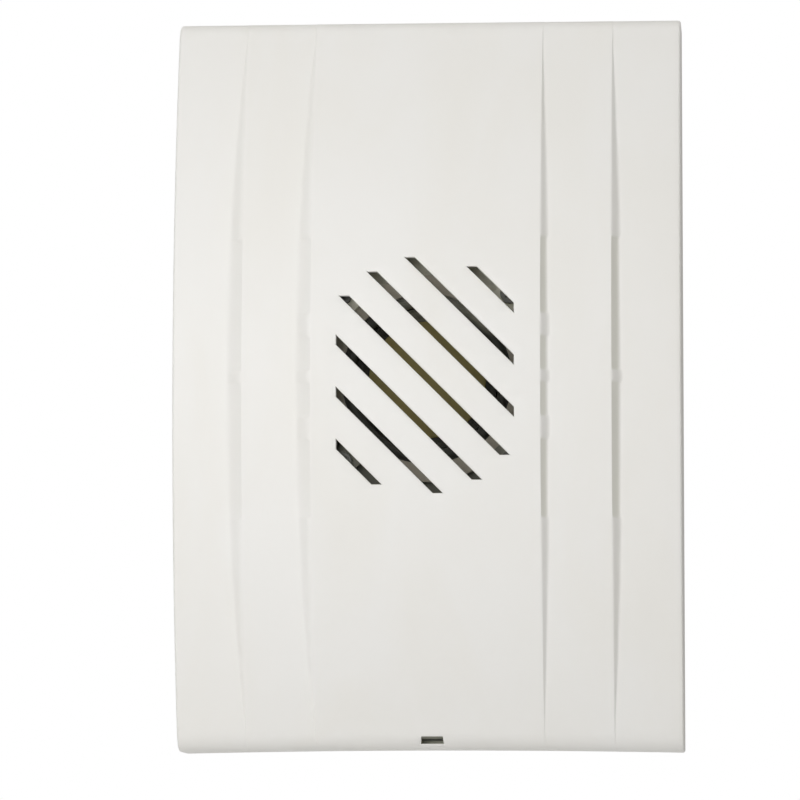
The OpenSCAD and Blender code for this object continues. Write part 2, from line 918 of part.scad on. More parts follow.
module output_transistor() {
    foot = board_front + transistor_lift;
    flat = transistor_at[1] + transistor_radius * 0.55;
    color("black")
        difference() {
            bar(transistor_at, transistor_radius, [foot, foot + 4.8]);
            block([transistor_at[0] - 3, transistor_at[0] + 3], [foot - 1, foot + 6], [flat, flat + 3]);
        }
}

module transistor_legs() {
    color("silver")
        for (k = [-1:1]) {
            x = transistor_at[0] + k * leg_pitch / 2;
            block([x - 0.25, x + 0.25], [board_front, board_front + transistor_lift],
                [transistor_at[1] - 0.25, transistor_at[1] + 0.25]);
        }
}

module melody_chip() {
    color("black")
        difference() {
            block([chip_at[0] - chip_half, chip_at[0] + chip_half], [board_front + 0.6, board_front + 3.9],
                [chip_at[1] - chip_reach, chip_at[1] + chip_reach]);
            bar([chip_at[0], chip_at[1] + chip_reach], 0.9, [board_front + 3.2, board_front + 5]);
        }
}

module chip_legs() {
    in_x = chip_half;
    out_x = chip_half + 0.9;
    color("silver")
        for (side = [0, 1])
            for (k = [-1.5:1.5]) {
                z = k * leg_pitch;
                translate([chip_at[0], 0, chip_at[1]])
                    mirror([side, 0, 0])
                        union() {
                            block([in_x, out_x], [board_front + 2, board_front + 2.3], [z - 0.6, z + 0.6]);
                            block([out_x - 0.3, out_x], [board_front, board_front + 2.3], [z - 0.6, z + 0.6]);
                        }
            }
}

module volume_trimmer() {
    s = trimmer_side / 2;
    color("royalblue")
        difference() {
            block([trimmer_at[0] - s, trimmer_at[0] + s], [board_front, rotor_front - 0.6],
                [trimmer_at[1] - s, trimmer_at[1] + s]);
            bar(trimmer_at, 3.7, [rotor_front - 2, rotor_front + 1]);
            bar(trimmer_at, 1.55, [board_front + 1, rotor_front + 1]);
        }
}

module volume_rotor() {
    color("white")
        difference() {
            union() {
                bar(trimmer_at, 3.4, [rotor_front - 1.7, rotor_front]);
                bar(trimmer_at, 1.5, [board_front + 1.3, rotor_front - 1]);
            }
            block([trimmer_at[0] - 0.45, trimmer_at[0] + 0.45], [rotor_front - 1, rotor_front + 1],
                [trimmer_at[1] - 2.4, trimmer_at[1] + 2.4]);
            block([trimmer_at[0] - 1.5, trimmer_at[0] + 1.5], [rotor_front - 1, rotor_front + 1],
                [trimmer_at[1] + 0.9, trimmer_at[1] + 1.8]);
        }
}

module speaker_basket() {
    color("silver")
        difference() {
            turned([0, 0])
                polygon([[speaker_radius, flange_front], [flange_inner, flange_front],
                    [basket_neck, basket_floor], [plate_bore, basket_floor],
                    [plate_bore, basket_floor - sheet], [basket_neck + 0.4, basket_floor - sheet],
                    [flange_inner + 0.4, flange_back], [speaker_radius, flange_back]]);
            for (a = [0:90:270])
                rotate([0, a, 0])
                    block([basket_neck + 1.2, flange_inner - 1.2], [basket_floor - 2, flange_back + 2],
                        [-6, 6]);
        }
}

module speaker_gasket() {
    color("lightgray")
        turned([0, 0])
            translate([gasket_inner, flange_front])
                square([speaker_radius - gasket_inner, gasket_thick]);
}

module speaker_surround() {
    color("black")
        turned([0, 0])
            union() {
                intersection() {
                    difference() {
                        translate([roll_centre, flange_front])
                            circle(roll_out);
                        translate([roll_centre, flange_front])
                            circle(roll_out - 0.5);
                    }
                    translate([roll_centre - 3, flange_front])
                        square([6, 3]);
                }
                translate([roll_centre + roll_out - 0.3, flange_front])
                    square([gasket_inner - 0.1 - roll_centre - roll_out + 0.3, 0.4]);
            }
}

module speaker_cone() {
    color("black")
        turned([0, 0])
            polygon([[former_out + 0.05, cone_neck_depth], [cone_edge, cone_edge_depth],
                [cone_edge, cone_edge_depth - cone_thick],
                [former_out + 0.05, cone_neck_depth - cone_thick]]);
}

module speaker_dust_cap() {
    ball_depth = cap_seat + cap_rise - cap_ball;
    color("darkkhaki")
        turned([0, 0])
            intersection() {
                difference() {
                    translate([0, ball_depth])
                        circle(cap_ball, $fn = 180);
                    translate([0, ball_depth])
                        circle(cap_ball - 0.4, $fn = 180);
                }
                translate([0, cap_seat + 0.05])
                    square([cap_radius, cap_rise + 1]);
            }
}

module coil_former() {
    color("tan")
        turned([0, 0])
            translate([former_in, top_plate_back - 0.8])
                square([former_out - former_in, cone_neck_depth - top_plate_back + 0.8]);
}

module voice_coil() {
    color("chocolate")
        turned([0, 0])
            translate([former_out, top_plate_back + plate_thick / 2 - coil_length / 2])
                square([coil_out - former_out, coil_length]);
}

module speaker_spider() {
    a = 0.35;
    step = (basket_neck - 1.2 - spider_in) / 4;
    base = basket_floor;
    color("darkgoldenrod")
        turned([0, 0])
            polygon([[basket_neck - 0.2, base], [basket_neck - 0.2, base + a], [basket_neck - 1.2, base + a],
                [spider_in + 3 * step, base + 0.3 + a], [spider_in + 2 * step, base + a],
                [spider_in + step, base + 0.3 + a], [spider_in, base + a], [spider_in, base],
                [spider_in + step, base + 0.3], [spider_in + 2 * step, base],
                [spider_in + 3 * step, base + 0.3], [basket_neck - 1.2, base]]);
}

module speaker_top_plate() {
    color("darkgray")
        turned([0, 0])
            translate([plate_bore, top_plate_back])
                square([magnet_radius - 2.5 - plate_bore, plate_thick]);
}

module speaker_magnet() {
    color("dimgray")
        turned([0, 0])
            translate([plate_bore + 1.2, magnet_back])
                square([magnet_radius - plate_bore - 1.2, magnet_thick]);
}

module speaker_pole() {
    color("darkgray")
        turned([0, 0])
            union() {
                translate([0, magnet_back - plate_thick])
                    square([magnet_radius - 2.5, plate_thick]);
                translate([0, magnet_back - 0.5])
                    square([pole_radius, magnet_thick + plate_thick + 0.5]);
            }
}

module speaker_tag_board() {
    color("peru")
        block([-tag_half, tag_half], [flange_back - 7, flange_back], [tag_z - 0.6, tag_z + 0.6]);
}

module speaker_tags() {
    color("gold")
        for (x = speaker_lead_x)
            block([x - 1.2, x + 1.2], [flange_back - 8.5, flange_back - 2], [tag_z - 1.1, tag_z - 0.6]);
}

module speaker_clips() {
    color("gainsboro")
        each_post()
            difference() {
                block([-5, 4], [gasket_front, gasket_front + 1.2], [-3.5, 3.5]);
                bar([0, 0], screw_radius + 0.3, [gasket_front - 1, gasket_front + 2]);
            }
}

module speaker_screws() {
    color("silver")
        each_post()
            screw([0, 0], gasket_front + 1.2, 1.2 + pilot_depth - 1);
}

front_cover();
base_plate();
mounting_posts();
speaker_posts();
speaker_baffle();
release_catch();
cable_grommet();
cable_clamp();
cable_clamp_screws();
terminal_body();
terminal_tubes();
terminal_screws();
terminal_fixing_screw();
transformer_core();
transformer_bobbin();
transformer_winding();
transformer_screws();
primary_leads();
secondary_leads();
circuit_board();
board_screws();
smoothing_capacitor();
coupling_capacitors();
rectifier_diodes();
resistors();
output_transistor();
transistor_legs();
melody_chip();
chip_legs();
volume_trimmer();
volume_rotor();
speaker_basket();
speaker_gasket();
speaker_surround();
speaker_cone();
speaker_dust_cap();
coil_former();
voice_coil();
speaker_spider();
speaker_top_plate();
speaker_magnet();
speaker_pole();
speaker_tag_board();
speaker_tags();
speaker_leads();
speaker_clips();
speaker_screws();
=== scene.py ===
"""Looks of the doorbell chime box, built round its CAD frame.

The bowed and stepped front cover is modelled here in full, with rounded edges, slanted sound slots and flats in its
step faces. The pieces inside keep their CAD shapes and get procedural finishes.
"""

import json
import logging
import math
from dataclasses import dataclass
from enum import Enum
from typing import Dict, List, Sequence, Tuple

import bmesh
import bpy
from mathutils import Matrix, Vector
from mathutils.geometry import delaunay_2d_cdt


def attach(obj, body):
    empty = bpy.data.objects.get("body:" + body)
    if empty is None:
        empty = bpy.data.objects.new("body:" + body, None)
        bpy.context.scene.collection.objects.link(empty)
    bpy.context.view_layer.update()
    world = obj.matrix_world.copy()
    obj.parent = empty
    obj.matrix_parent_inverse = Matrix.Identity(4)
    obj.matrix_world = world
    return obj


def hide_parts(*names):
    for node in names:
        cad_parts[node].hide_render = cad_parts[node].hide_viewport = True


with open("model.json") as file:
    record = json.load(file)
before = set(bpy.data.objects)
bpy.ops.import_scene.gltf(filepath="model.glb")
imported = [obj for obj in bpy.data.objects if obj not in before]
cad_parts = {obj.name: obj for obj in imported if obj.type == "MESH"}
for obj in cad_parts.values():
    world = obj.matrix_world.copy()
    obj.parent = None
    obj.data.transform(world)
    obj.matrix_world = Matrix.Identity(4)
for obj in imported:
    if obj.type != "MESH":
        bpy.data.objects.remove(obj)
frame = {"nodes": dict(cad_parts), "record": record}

logging.basicConfig(level=logging.INFO, format="%(name)s: %(message)s")
LOG = logging.getLogger("chime")

MM = 0.001
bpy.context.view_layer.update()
COLUMN_MATCH = 0.01
WELD = 1e-5
TINY = 1e-9

Colour = Tuple[float, float, float]
Point = Tuple[float, float]
Levels = Tuple[float, float, float]
Loop = List[Point]
Vert = bmesh.types.BMVert
Verts = Sequence[Vert]
Span = Tuple[int, int, int, int]
Socket = bpy.types.NodeSocket


class Body(Enum):
    """Bodies of the frame that pieces made here ride on."""

    COVER = "cover"


def ease(share: float) -> float:
    """Share from 0 to 1 with soft ends."""
    share = min(max(share, 0.0), 1.0)
    return share * share * (3.0 - 2.0 * share)


def smooth_max(a: float, b: float, blend: float) -> float:
    """Larger of two heights, with a rounded inner corner.

    Args:
        a: First height.
        b: Second height.
        blend: Height difference below which the corner is rounded.

    Returns:
        The blended height.
    """
    if blend <= 0.0:
        return max(a, b)
    share = max(blend - abs(a - b), 0.0) / blend
    return max(a, b) + share * share * blend * 0.25


def smooth_min(a: float, b: float, blend: float) -> float:
    """Smaller of two heights, with a rounded outer corner."""
    return -smooth_max(-a, -b, blend)


@dataclass(frozen=True)
class BowForm:
    """One skin of the cover: three bowed panels, rolled ends and upright end walls, in millimetres.

    A point is found from its place across (x) and its path length up the skin from mid-height (t).
    """

    half_width: float
    half_height: float
    roll: float
    edge: float
    inward: float
    depths: Tuple[Levels, Levels] = ((38.0, 40.8, 43.6), (39.4, 41.7, 43.6))
    crests: Tuple[Point, Point] = ((47.0, 29.2), (47.3, 29.3))
    end_depth: float = 23.2
    meet: float = 92.5
    slopes: Point = (37.5, 43.5)
    rim: float = 2.2
    warp: float = 0.7
    flats: Tuple[Tuple[Point, ...], Tuple[Point, ...]] = (((1.5, 35.8),), ((1.5, 10.2), (16.0, 35.8)))
    flat_steepness: Point = (1.02, 1.35)
    flat_ends: float = 1.0
    soft_run: Point = (1.0, 0.92)
    crest_blend: float = 0.12
    soft_blend: Point = (1.2, 0.6)
    soft_shift: Point = (0.8, 0.2)
    foot_blend: Point = (0.9, 0.8)
    least_run: float = 0.3
    warp_from: float = 50.0
    warp_span: float = 44.0

    def radius(self, panel: int, side: float) -> float:
        """Bow radius of a panel, 0 outer to 2 centre."""
        rise = self.depths[int(side > 0.0)][panel] - self.end_depth
        return (self.meet**2 + rise**2) / (2.0 * rise) - self.inward

    def axis(self, panel: int, side: float) -> float:
        """Depth of a panel's bow axis."""
        return self.depths[int(side > 0.0)][panel] - self.inward - self.radius(panel, side)

    def arch(self, panel: int, z: float, side: float) -> float:
        """Depth of a whole panel at height z."""
        return self.axis(panel, side) + math.sqrt(self.radius(panel, side) ** 2 - z * z)

    def rise(self, panel: int, z: float, side: float) -> float:
        """Height of the step up to a panel at height z."""
        return max(self.arch(panel, z, side) - self.arch(panel - 1, z, side), 0.0)

    def steepness(self, side: float) -> float:
        """Fall of the step faces on a side for each millimetre across."""
        return math.tan(math.radians(self.slopes[int(side > 0.0)]))

    def crest(self, panel: int, side: float) -> float:
        """Half width of a raised panel at its crest, 1 middle or 2 centre."""
        lean = math.radians(self.slopes[int(side > 0.0)])
        return self.crests[int(side > 0.0)][panel - 1] - self.inward * math.tan(lean * 0.5)

    def run(self, panel: int, z: float, side: float) -> float:
        """Width of a step face at height z."""
        return max(self.rise(panel, z, side) / self.steepness(side), self.least_run)

    def flat(self, panel: int, z: float) -> float:
        """Share of a flat in the step face up to a panel: 1 within it, 0 away from it."""
        inside = (min(abs(z) - low, high - abs(z)) for low, high in self.flats[panel - 1])
        return max((ease(part / self.flat_ends + 0.5) for part in inside), default=0.0)

    def depth(self, x: float, z: float) -> float:
        """Depth of the stepped front at a place.

        The crests are crisp at the flats and soft elsewhere. The foot of a step keeps its line along both.

        Args:
            x: Place across.
            z: Height.

        Returns:
            Depth in front of the wall.
        """
        hand = int(x > 0.0)
        level = self.arch(0, z, x)
        for panel in (1, 2):
            top, rise = self.arch(panel, z, x), self.rise(panel, z, x)
            share = rise / self.rise(panel, 0.0, x)
            flat = self.flat(panel, z)
            out = abs(x) - self.crest(panel, x)
            shift = self.soft_shift[hand] * share
            run = max(self.run(panel, z, x) * self.soft_run[hand] - shift, self.least_run)
            soft = top - (out - shift) * rise / run
            fall = self.steepness(x) * self.flat_steepness[hand]
            face = soft + flat * (top - out * fall - soft)
            blend = self.soft_blend[hand] + flat * (self.crest_blend - self.soft_blend[hand])
            level = smooth_max(level, smooth_min(top, face, blend * share), self.foot_blend[hand] * share)
        return level

    @property
    def roll_z(self) -> float:
        """Height of the end roll's axis."""
        return self.half_height - self.roll

    @property
    def turn_angle(self) -> float:
        """Lean of the bow where the end roll begins."""
        return math.asin(self.roll_z / (self.radius(0, -1.0) - self.roll))

    @property
    def turn_z(self) -> float:
        """Height where the end roll begins."""
        return self.roll_z * self.radius(0, -1.0) / (self.radius(0, -1.0) - self.roll)

    @property
    def roll_depth(self) -> float:
        """Depth of the end roll's axis."""
        return self.axis(0, -1.0) + math.sqrt((self.radius(0, -1.0) - self.roll) ** 2 - self.roll_z**2)

    @property
    def roll_length(self) -> float:
        """Path length round an end roll."""
        return self.roll * (math.pi / 2.0 - self.turn_angle)

    @property
    def path_end(self) -> float:
        """Path length from mid-height to the rim."""
        return self.turn_z + self.roll_length + self.roll_depth - self.rim

    def roll_path(self, share: float) -> float:
        """Path length at a share of the way round an end roll."""
        return self.turn_z + share * self.roll_length

    def place(self, x: float, t: float, inset: float = 0.0) -> Vector:
        """Finds a point of the skin.

        Args:
            x: Place across.
            t: Path length from mid-height, upward positive.
            inset: Distance below the skin along its normal.

        Returns:
            The point in metres, in the shared frame.
        """
        side = 1.0 if t >= 0.0 else -1.0
        path = min(abs(t), self.path_end)
        if path <= self.turn_z:
            depth, z = self.depth(x, path), path
            angle = math.asin(path / self.radius(0, -1.0))
        else:
            lift = self.depth(x, self.turn_z) - self.arch(0, self.turn_z, -1.0)
            angle = min(self.turn_angle + (path - self.turn_z) / self.roll, math.pi / 2.0)
            z = self.roll_z + self.roll * math.sin(angle)
            wall = max(path - self.turn_z - self.roll_length, 0.0) / (self.roll_depth - self.rim)
            depth = self.roll_depth + lift + self.roll * math.cos(angle)
            depth += (self.rim - self.roll_depth - lift) * wall
        depth -= inset * math.cos(angle)
        z -= inset * math.sin(angle)
        if side < 0.0:
            near = min(max(z - self.warp_from, 0.0) / self.warp_span, 1.0)
            z -= self.warp * max(1.0 - (x / self.half_width) ** 2, 0.0) * near**2
        return Vector((x, -depth, side * z)) * MM


@dataclass(frozen=True)
class Column:
    """A line of points up the cover: a fixed place across, or one that follows a step face."""

    side: int
    base: float
    panel: int = 0
    share: float = 0.0
    turn: float = 0.0

    def across(self, form: BowForm, t: float) -> Tuple[float, float]:
        """Place and inset of the column on a skin.

        Args:
            form: Skin the column lies on.
            t: Path length from mid-height.

        Returns:
            Place across and distance below the skin.
        """
        z = min(abs(t), form.turn_z)
        if self.turn > 0.0:
            angle = math.radians(self.turn)
            x = form.half_width - form.edge * (1.0 - math.sin(angle))
            return self.side * x, form.edge * (1.0 - math.cos(angle))
        if self.panel:
            crest = form.crest(self.panel, self.side)
            return self.side * (crest + self.base + self.share * form.run(self.panel, z, self.side)), 0.0
        return self.side * min(self.base, form.half_width - form.edge), 0.0


@dataclass(frozen=True)
class Opening:
    """A through opening of the cover, with a convex outline.

    An opening on the lower roll has a pocket behind its edge. At the low and the high edge, the pocket is wider by the
    distances in reach.
    """

    corners: Tuple[Point, ...]
    on_roll: bool = False
    reach: Point = (0.0, 0.0)
    pocket_wall: Point = (0.55, 1.2)
    spacing: float = 1.3
    mitre_limit: float = 0.35

    def loop(self, form: BowForm, grow: float) -> Loop:
        """Outline of the opening on a skin.

        Args:
            form: Skin the opening goes through.
            grow: Distance the outline is moved outward.

        Returns:
            Points (x, t) round the outline, the same number for each skin and distance.
        """
        count = len(self.corners)
        ring = [Vector(corner) for corner in self.corners]
        area = sum(ring[i - 1].x * ring[i].y - ring[i].x * ring[i - 1].y for i in range(count))
        if area <= 0.0:
            ring.reverse()
        moved: List[Vector] = []
        for i, corner in enumerate(ring):
            before = (corner - ring[i - 1]).normalized()
            after = (ring[(i + 1) % count] - corner).normalized()
            out_a, out_b = Vector((before.y, -before.x)), Vector((after.y, -after.x))
            mitre = (out_a + out_b).normalized()
            moved.append(corner + mitre * grow / max(mitre.dot(out_a), self.mitre_limit))
        points: Loop = []
        for i, corner in enumerate(ring):
            steps = max(int((ring[(i + 1) % count] - corner).length / self.spacing), 1)
            for step in range(steps):
                spot = moved[i].lerp(moved[(i + 1) % count], step / steps)
                points.append((spot.x, self.path(form, spot.y)))
        return points

    def path(self, form: BowForm, height: float) -> float:
        """Path length of an outline height: itself on the front, a distance round the lower roll otherwise.

        Args:
            form: Skin the opening goes through.
            height: Height on the outline.

        Returns:
            The path length.
        """
        if not self.on_roll:
            return height
        if form.inward > 0.0:
            height = self._widened(height)
        return -form.roll_path((OUTER.roll_length * 0.5 - height) / OUTER.roll_length)

    def _share(self, height: float) -> float:
        """Share of a height between the low and the high edge."""
        low, high = min(t for _, t in self.corners), max(t for _, t in self.corners)
        return min(max((height - low) / (high - low), 0.0), 1.0)

    def _widened(self, height: float) -> float:
        """Height that an outline height has in the pocket."""
        share = self._share(height)
        return height + self.reach[1] * share - self.reach[0] * (1.0 - share)

    def pocket(self) -> List[Vector]:
        """Lays out the pocket behind the edge.

        Returns:
            Points of the pocket, one for each point of the outline.
        """
        spots = []
        for x, t in self.loop(OUTER, 0.0):
            height = OUTER.roll_length * 0.5 + (t + OUTER.turn_z)
            share = self._share(height)
            wall = self.pocket_wall[0] * (1.0 - share) + self.pocket_wall[1] * share
            path = OUTER.roll_path((OUTER.roll_length * 0.5 - self._widened(height)) / OUTER.roll_length)
            spots.append(OUTER.place(x, -path, wall))
        return spots


OUTER = BowForm(half_width=65.0, half_height=94.5, roll=6.5, edge=0.7, inward=0.0)
INNER = BowForm(
    half_width=62.8,
    half_height=92.1,
    roll=4.1,
    edge=0.3,
    inward=2.2,
    flats=((), ()),
    soft_blend=(0.3, 0.3),
    soft_shift=(0.0, 0.0),
)


@dataclass
class FrontCover:
    """The moulded cover: two skins, slanted sound slots, a release slot, hinge lugs and a catch rib."""

    slots: int = 7
    slot_width: float = 1.8
    slot_pitch: float = 9.4
    grille_half: float = 22.6
    grille_radius: float = 30.1
    patch_half: float = 25.0
    patch_height: float = 31.5
    slot_ends: Tuple[Tuple[int, Point], ...] = (
        (3, (0.0, -0.25)),
        (2, (0.0, 0.75)),
        (1, (0.0, 0.4)),
        (0, (0.4, 0.0)),
        (-3, (0.75, 0.0)),
    )
    slot_round: float = 0.28
    slot_edge: Tuple[Point, ...] = ((0.08, 0.08), (0.0, 0.28))
    release_widths: Point = (5.4, 5.9)
    release_height: float = 2.9
    release_x: float = 0.6
    release_lean: float = 45.5
    release_reach: Point = (4.6, -1.9)
    release_patch: Tuple[float, float, float, float] = (6.0, 0.08, 0.9, 2.4)
    patch_margin: float = 0.5
    row_step: float = 2.4
    row_gap: float = 0.7
    row_hold: float = 40.0
    roll_rows: int = 12
    wall_rows: int = 4
    flat_rows: Tuple[float, ...] = (-0.5, -0.2, 0.0, 0.2, 0.5)
    centre_columns: Tuple[float, ...] = (1.7, 3.4, 6.0, 9.0, 12.0, 15.0, 18.0, 21.5, 25.0, 26.6)
    panel_columns: Tuple[Tuple[float, ...], ...] = ((53.2, 56.0, 59.0, 61.4, 63.0), (36.0, 39.0, 42.0, 44.3))
    crest_columns: Tuple[float, ...] = (-1.6, -1.1, -0.7, -0.4, -0.2, -0.09, -0.03, 0.02)
    step_columns: Tuple[float, ...] = (
        *(0.05, 0.12, 0.2, 0.3, 0.42, 0.54, 0.66, 0.78),
        *(0.88, 0.96, 1.04, 1.12, 1.22, 1.34, 1.5),
    )
    edge_turns: Tuple[float, ...] = (1.0, 20.0, 40.0, 60.0, 75.0, 90.0)
    pin: Point = (8.5, 89.5)
    pin_room: float = 1.9
    pin_steps: int = 14
    lugs: Tuple[Point, ...] = ((51.4, 54.4), (41.6, 44.6))
    lug_back: Tuple[Point, ...] = ((4.5, 87.5), (5.0, 87.0), (6.3, 87.0), (6.6, 87.5))
    lug_front: Tuple[Point, ...] = (
        *((10.4, 87.5), (10.7, 87.0), (12.0, 87.0), (12.5, 87.5)),
        *((12.5, 92.9), (4.5, 92.9)),
    )
    rib_half: float = 7.0
    rib: Tuple[Point, ...] = (
        *((9.1, -92.5), (12.6, -92.5), (12.6, -89.9)),
        *((12.2, -89.5), (9.5, -89.5), (9.1, -89.9)),
    )
    sharp_angle: float = 32.0

    def __post_init__(self) -> None:
        """Lays out the columns, rows and openings."""
        self.columns = self._columns()
        self.rows = self._rows(OUTER)
        self.grille = [self._slot(k) for k in range(-(self.slots // 2), self.slots // 2 + 1)]
        self.release = self._release()
        self.mesh = bmesh.new()

    def _columns(self) -> List[Column]:
        """Lays out the lines of points up the cover.

        Returns:
            Columns from the left edge to the right edge.
        """
        half = [Column(1, x) for x in self.centre_columns]
        for panel in (2, 1):
            half += [Column(1, base, panel) for base in self.crest_columns]
            half += [Column(1, 0.0, panel, share) for share in self.step_columns]
            half += [Column(1, x) for x in self.panel_columns[panel - 1]]
        half += [Column(1, 0.0, turn=turn) for turn in self.edge_turns]
        left = [Column(-1, c.base, c.panel, c.share, c.turn) for c in reversed(half)]
        return left + [Column(1, 0.0)] + half

    def _rows(self, form: BowForm) -> List[float]:
        """Lays out the rows of a skin.

        Args:
            form: Skin that gets the rows.

        Returns:
            Path lengths of the rows, from the lower rim to the upper rim.
        """
        keep = {0.0, self.patch_height}
        for low, high in OUTER.flats[0] + OUTER.flats[1]:
            keep |= {end + OUTER.flat_ends * part for end in (low, high) for part in self.flat_rows}
        marks = sorted(keep)
        steps = [i * self.row_step for i in range(1, int(OUTER.turn_z / self.row_step))]
        front = marks + [spot for spot in steps if min(abs(spot - mark) for mark in marks) > self.row_gap]
        front.sort()
        hold = self.row_hold
        front = [t if t <= hold else hold + (t - hold) * (form.turn_z - hold) / (OUTER.turn_z - hold) for t in front]
        half = front + [form.roll_path(i / self.roll_rows) for i in range(self.roll_rows + 1)]
        start, count = form.roll_path(1.0), self.wall_rows
        half += [start + (form.path_end - start) * i / count for i in range(1, count + 1)]
        return [-t for t in reversed(half[1:])] + half

    def _slot(self, k: int) -> Opening:
        """Lays out a sound slot.

        Args:
            k: Number of the slot, counted from the middle one up to the right.

        Returns:
            The slot.
        """
        half, root = self.slot_width / 2.0, math.sqrt(2.0)

        def end(index: int) -> float:
            """Height at which the round of the grille ends a slot."""
            spot = index * self.slot_pitch - half
            return (spot + math.sqrt(self.grille_radius**2 - spot * spot)) / root

        moves = dict(self.slot_ends).get(k, (0.0, 0.0))
        low, high, reach = moves[0] - end(-k), moves[1] + end(k), self.grille_half
        sums = ((k * self.slot_pitch - half) * root, (k * self.slot_pitch + half) * root)
        box = [(-reach, low), (reach, low), (reach, high), (-reach, high)]
        for sign, limit in ((1.0, sums[1]), (-1.0, -sums[0])):
            kept: Loop = []
            for i, (x, z) in enumerate(box):
                nx, nz = box[(i + 1) % len(box)]
                here, there = limit - sign * (x + z), limit - sign * (nx + nz)
                if here >= 0.0:
                    kept.append((x, z))
                if here * there < 0.0:
                    share = here / (here - there)
                    kept.append((x + (nx - x) * share, z + (nz - z) * share))
            box = kept
        return Opening(tuple(box))

    def _release(self) -> Opening:
        """Lays out the slot on the lower roll that a screwdriver goes into.

        Returns:
            The slot.
        """
        middle = OUTER.roll_length * 0.5 - (math.radians(self.release_lean) - OUTER.turn_angle) * OUTER.roll
        low, high = middle - self.release_height / 2.0, middle + self.release_height / 2.0
        top, bottom = self.release_widths[0] / 2.0, self.release_widths[1] / 2.0
        corners = ((-bottom, low), (bottom, low), (top, high), (-top, high))
        spots = tuple((self.release_x + x, t) for x, t in corners)
        return Opening(spots, on_roll=True, reach=self.release_reach)

    def _grid(self, form: BowForm, rows: Sequence[float]) -> List[List[Vert]]:
        """Adds the points of a whole skin.

        Args:
            form: Skin to lay out.
            rows: Path lengths of its rows.

        Returns:
            The points, by column and row.
        """
        grid = []
        for column in self.columns:
            line = []
            for t in rows:
                x, inset = column.across(form, t)
                line.append(self.mesh.verts.new(form.place(x, t, inset)))
            grid.append(line)
        return grid

    def _column_at(self, x: float) -> int:
        """Index of the plain column at a place across."""
        plain = ((i, c.side * c.base) for i, c in enumerate(self.columns) if not c.panel and not c.turn)
        return next(i for i, spot in plain if abs(spot - x) < COLUMN_MATCH)

    def _row_at(self, rows: Sequence[float], t: float) -> int:
        """Index of the row nearest to a path length."""
        return min(range(len(rows)), key=lambda i: abs(rows[i] - t))

    def _patch(
        self,
        form: BowForm,
        rows: Sequence[float],
        grid: List[List[Vert]],
        span: Span,
        loops: Sequence[Loop],
    ) -> List[List[Vert]]:
        """Fills a rectangle of the grid round some openings.

        Args:
            form: Skin that is filled.
            rows: Path lengths of the grid's rows.
            grid: Points of the skin.
            span: First and last column, first and last row.
            loops: Outlines of the openings.

        Returns:
            Points of each outline.
        """
        c0, c1, r0, r1 = span
        border = [(c, r0) for c in range(c0, c1)] + [(c1, r) for r in range(r0, r1)]
        border += [(c, r1) for c in range(c1, c0, -1)] + [(c0, r) for r in range(r1, r0, -1)]
        spots = [(self.columns[c].across(form, rows[r])[0], rows[r]) for c, r in border]
        owners = [grid[c][r] for c, r in border]
        edges = [(i, (i + 1) % len(border)) for i in range(len(border))]
        starts = []
        for loop in loops:
            start = len(spots)
            starts.append(start)
            spots += loop
            edges += [(start + i, start + (i + 1) % len(loop)) for i in range(len(loop))]
        for c in range(c0 + 1, c1):
            for r in range(r0 + 1, r1):
                spot = (self.columns[c].across(form, rows[r])[0], rows[r])
                if all(self._clear(spot, loop, self.patch_margin) for loop in loops):
                    spots.append(spot)
                self.mesh.verts.remove(grid[c][r])
        made = delaunay_2d_cdt([Vector(s) for s in spots], edges, [], 0, WELD)
        found: Dict[int, Vert] = {}
        verts = []
        for spot, sources in zip(made[0], made[3]):
            border_sources = [s for s in sources if s < len(owners)]
            vert = owners[border_sources[0]] if border_sources else self.mesh.verts.new(form.place(spot.x, spot.y))
            verts.append(vert)
            for source in sources:
                found[source] = vert
        for face in made[2]:
            middle = sum((made[0][i] for i in face), Vector((0.0, 0.0))) / len(face)
            if all(self._clear((middle.x, middle.y), loop, 0.0) for loop in loops):
                self.mesh.faces.new([verts[i] for i in face])
        return [[found[start + i] for i in range(len(loop))] for start, loop in zip(starts, loops)]

    @staticmethod
    def _clear(spot: Point, loop: Loop, margin: float) -> bool:
        """Says whether a spot is outside a convex outline.

        Args:
            spot: Place across and path length.
            loop: Outline.
            margin: Least distance from the outline.

        Returns:
            Whether it is outside by the margin.
        """
        for i, (x, y) in enumerate(loop):
            nx, ny = loop[(i + 1) % len(loop)]
            length = math.hypot(nx - x, ny - y)
            if length > TINY and ((nx - x) * (spot[1] - y) - (ny - y) * (spot[0] - x)) / length < -margin:
                return True
        return False

    def _strip(self, a: Verts, b: Verts, closed: bool = False) -> None:
        """Joins two lines of points with faces.

        Args:
            a: First line.
            b: Second line, with as many points.
            closed: Whether the lines are rings.
        """
        for i in range(len(a) if closed else len(a) - 1):
            j = (i + 1) % len(a)
            ring = [a[i], a[j], b[j], b[i]]
            unique = [v for k, v in enumerate(ring) if v not in ring[:k]]
            if len(unique) > 2:
                self.mesh.faces.new(unique)

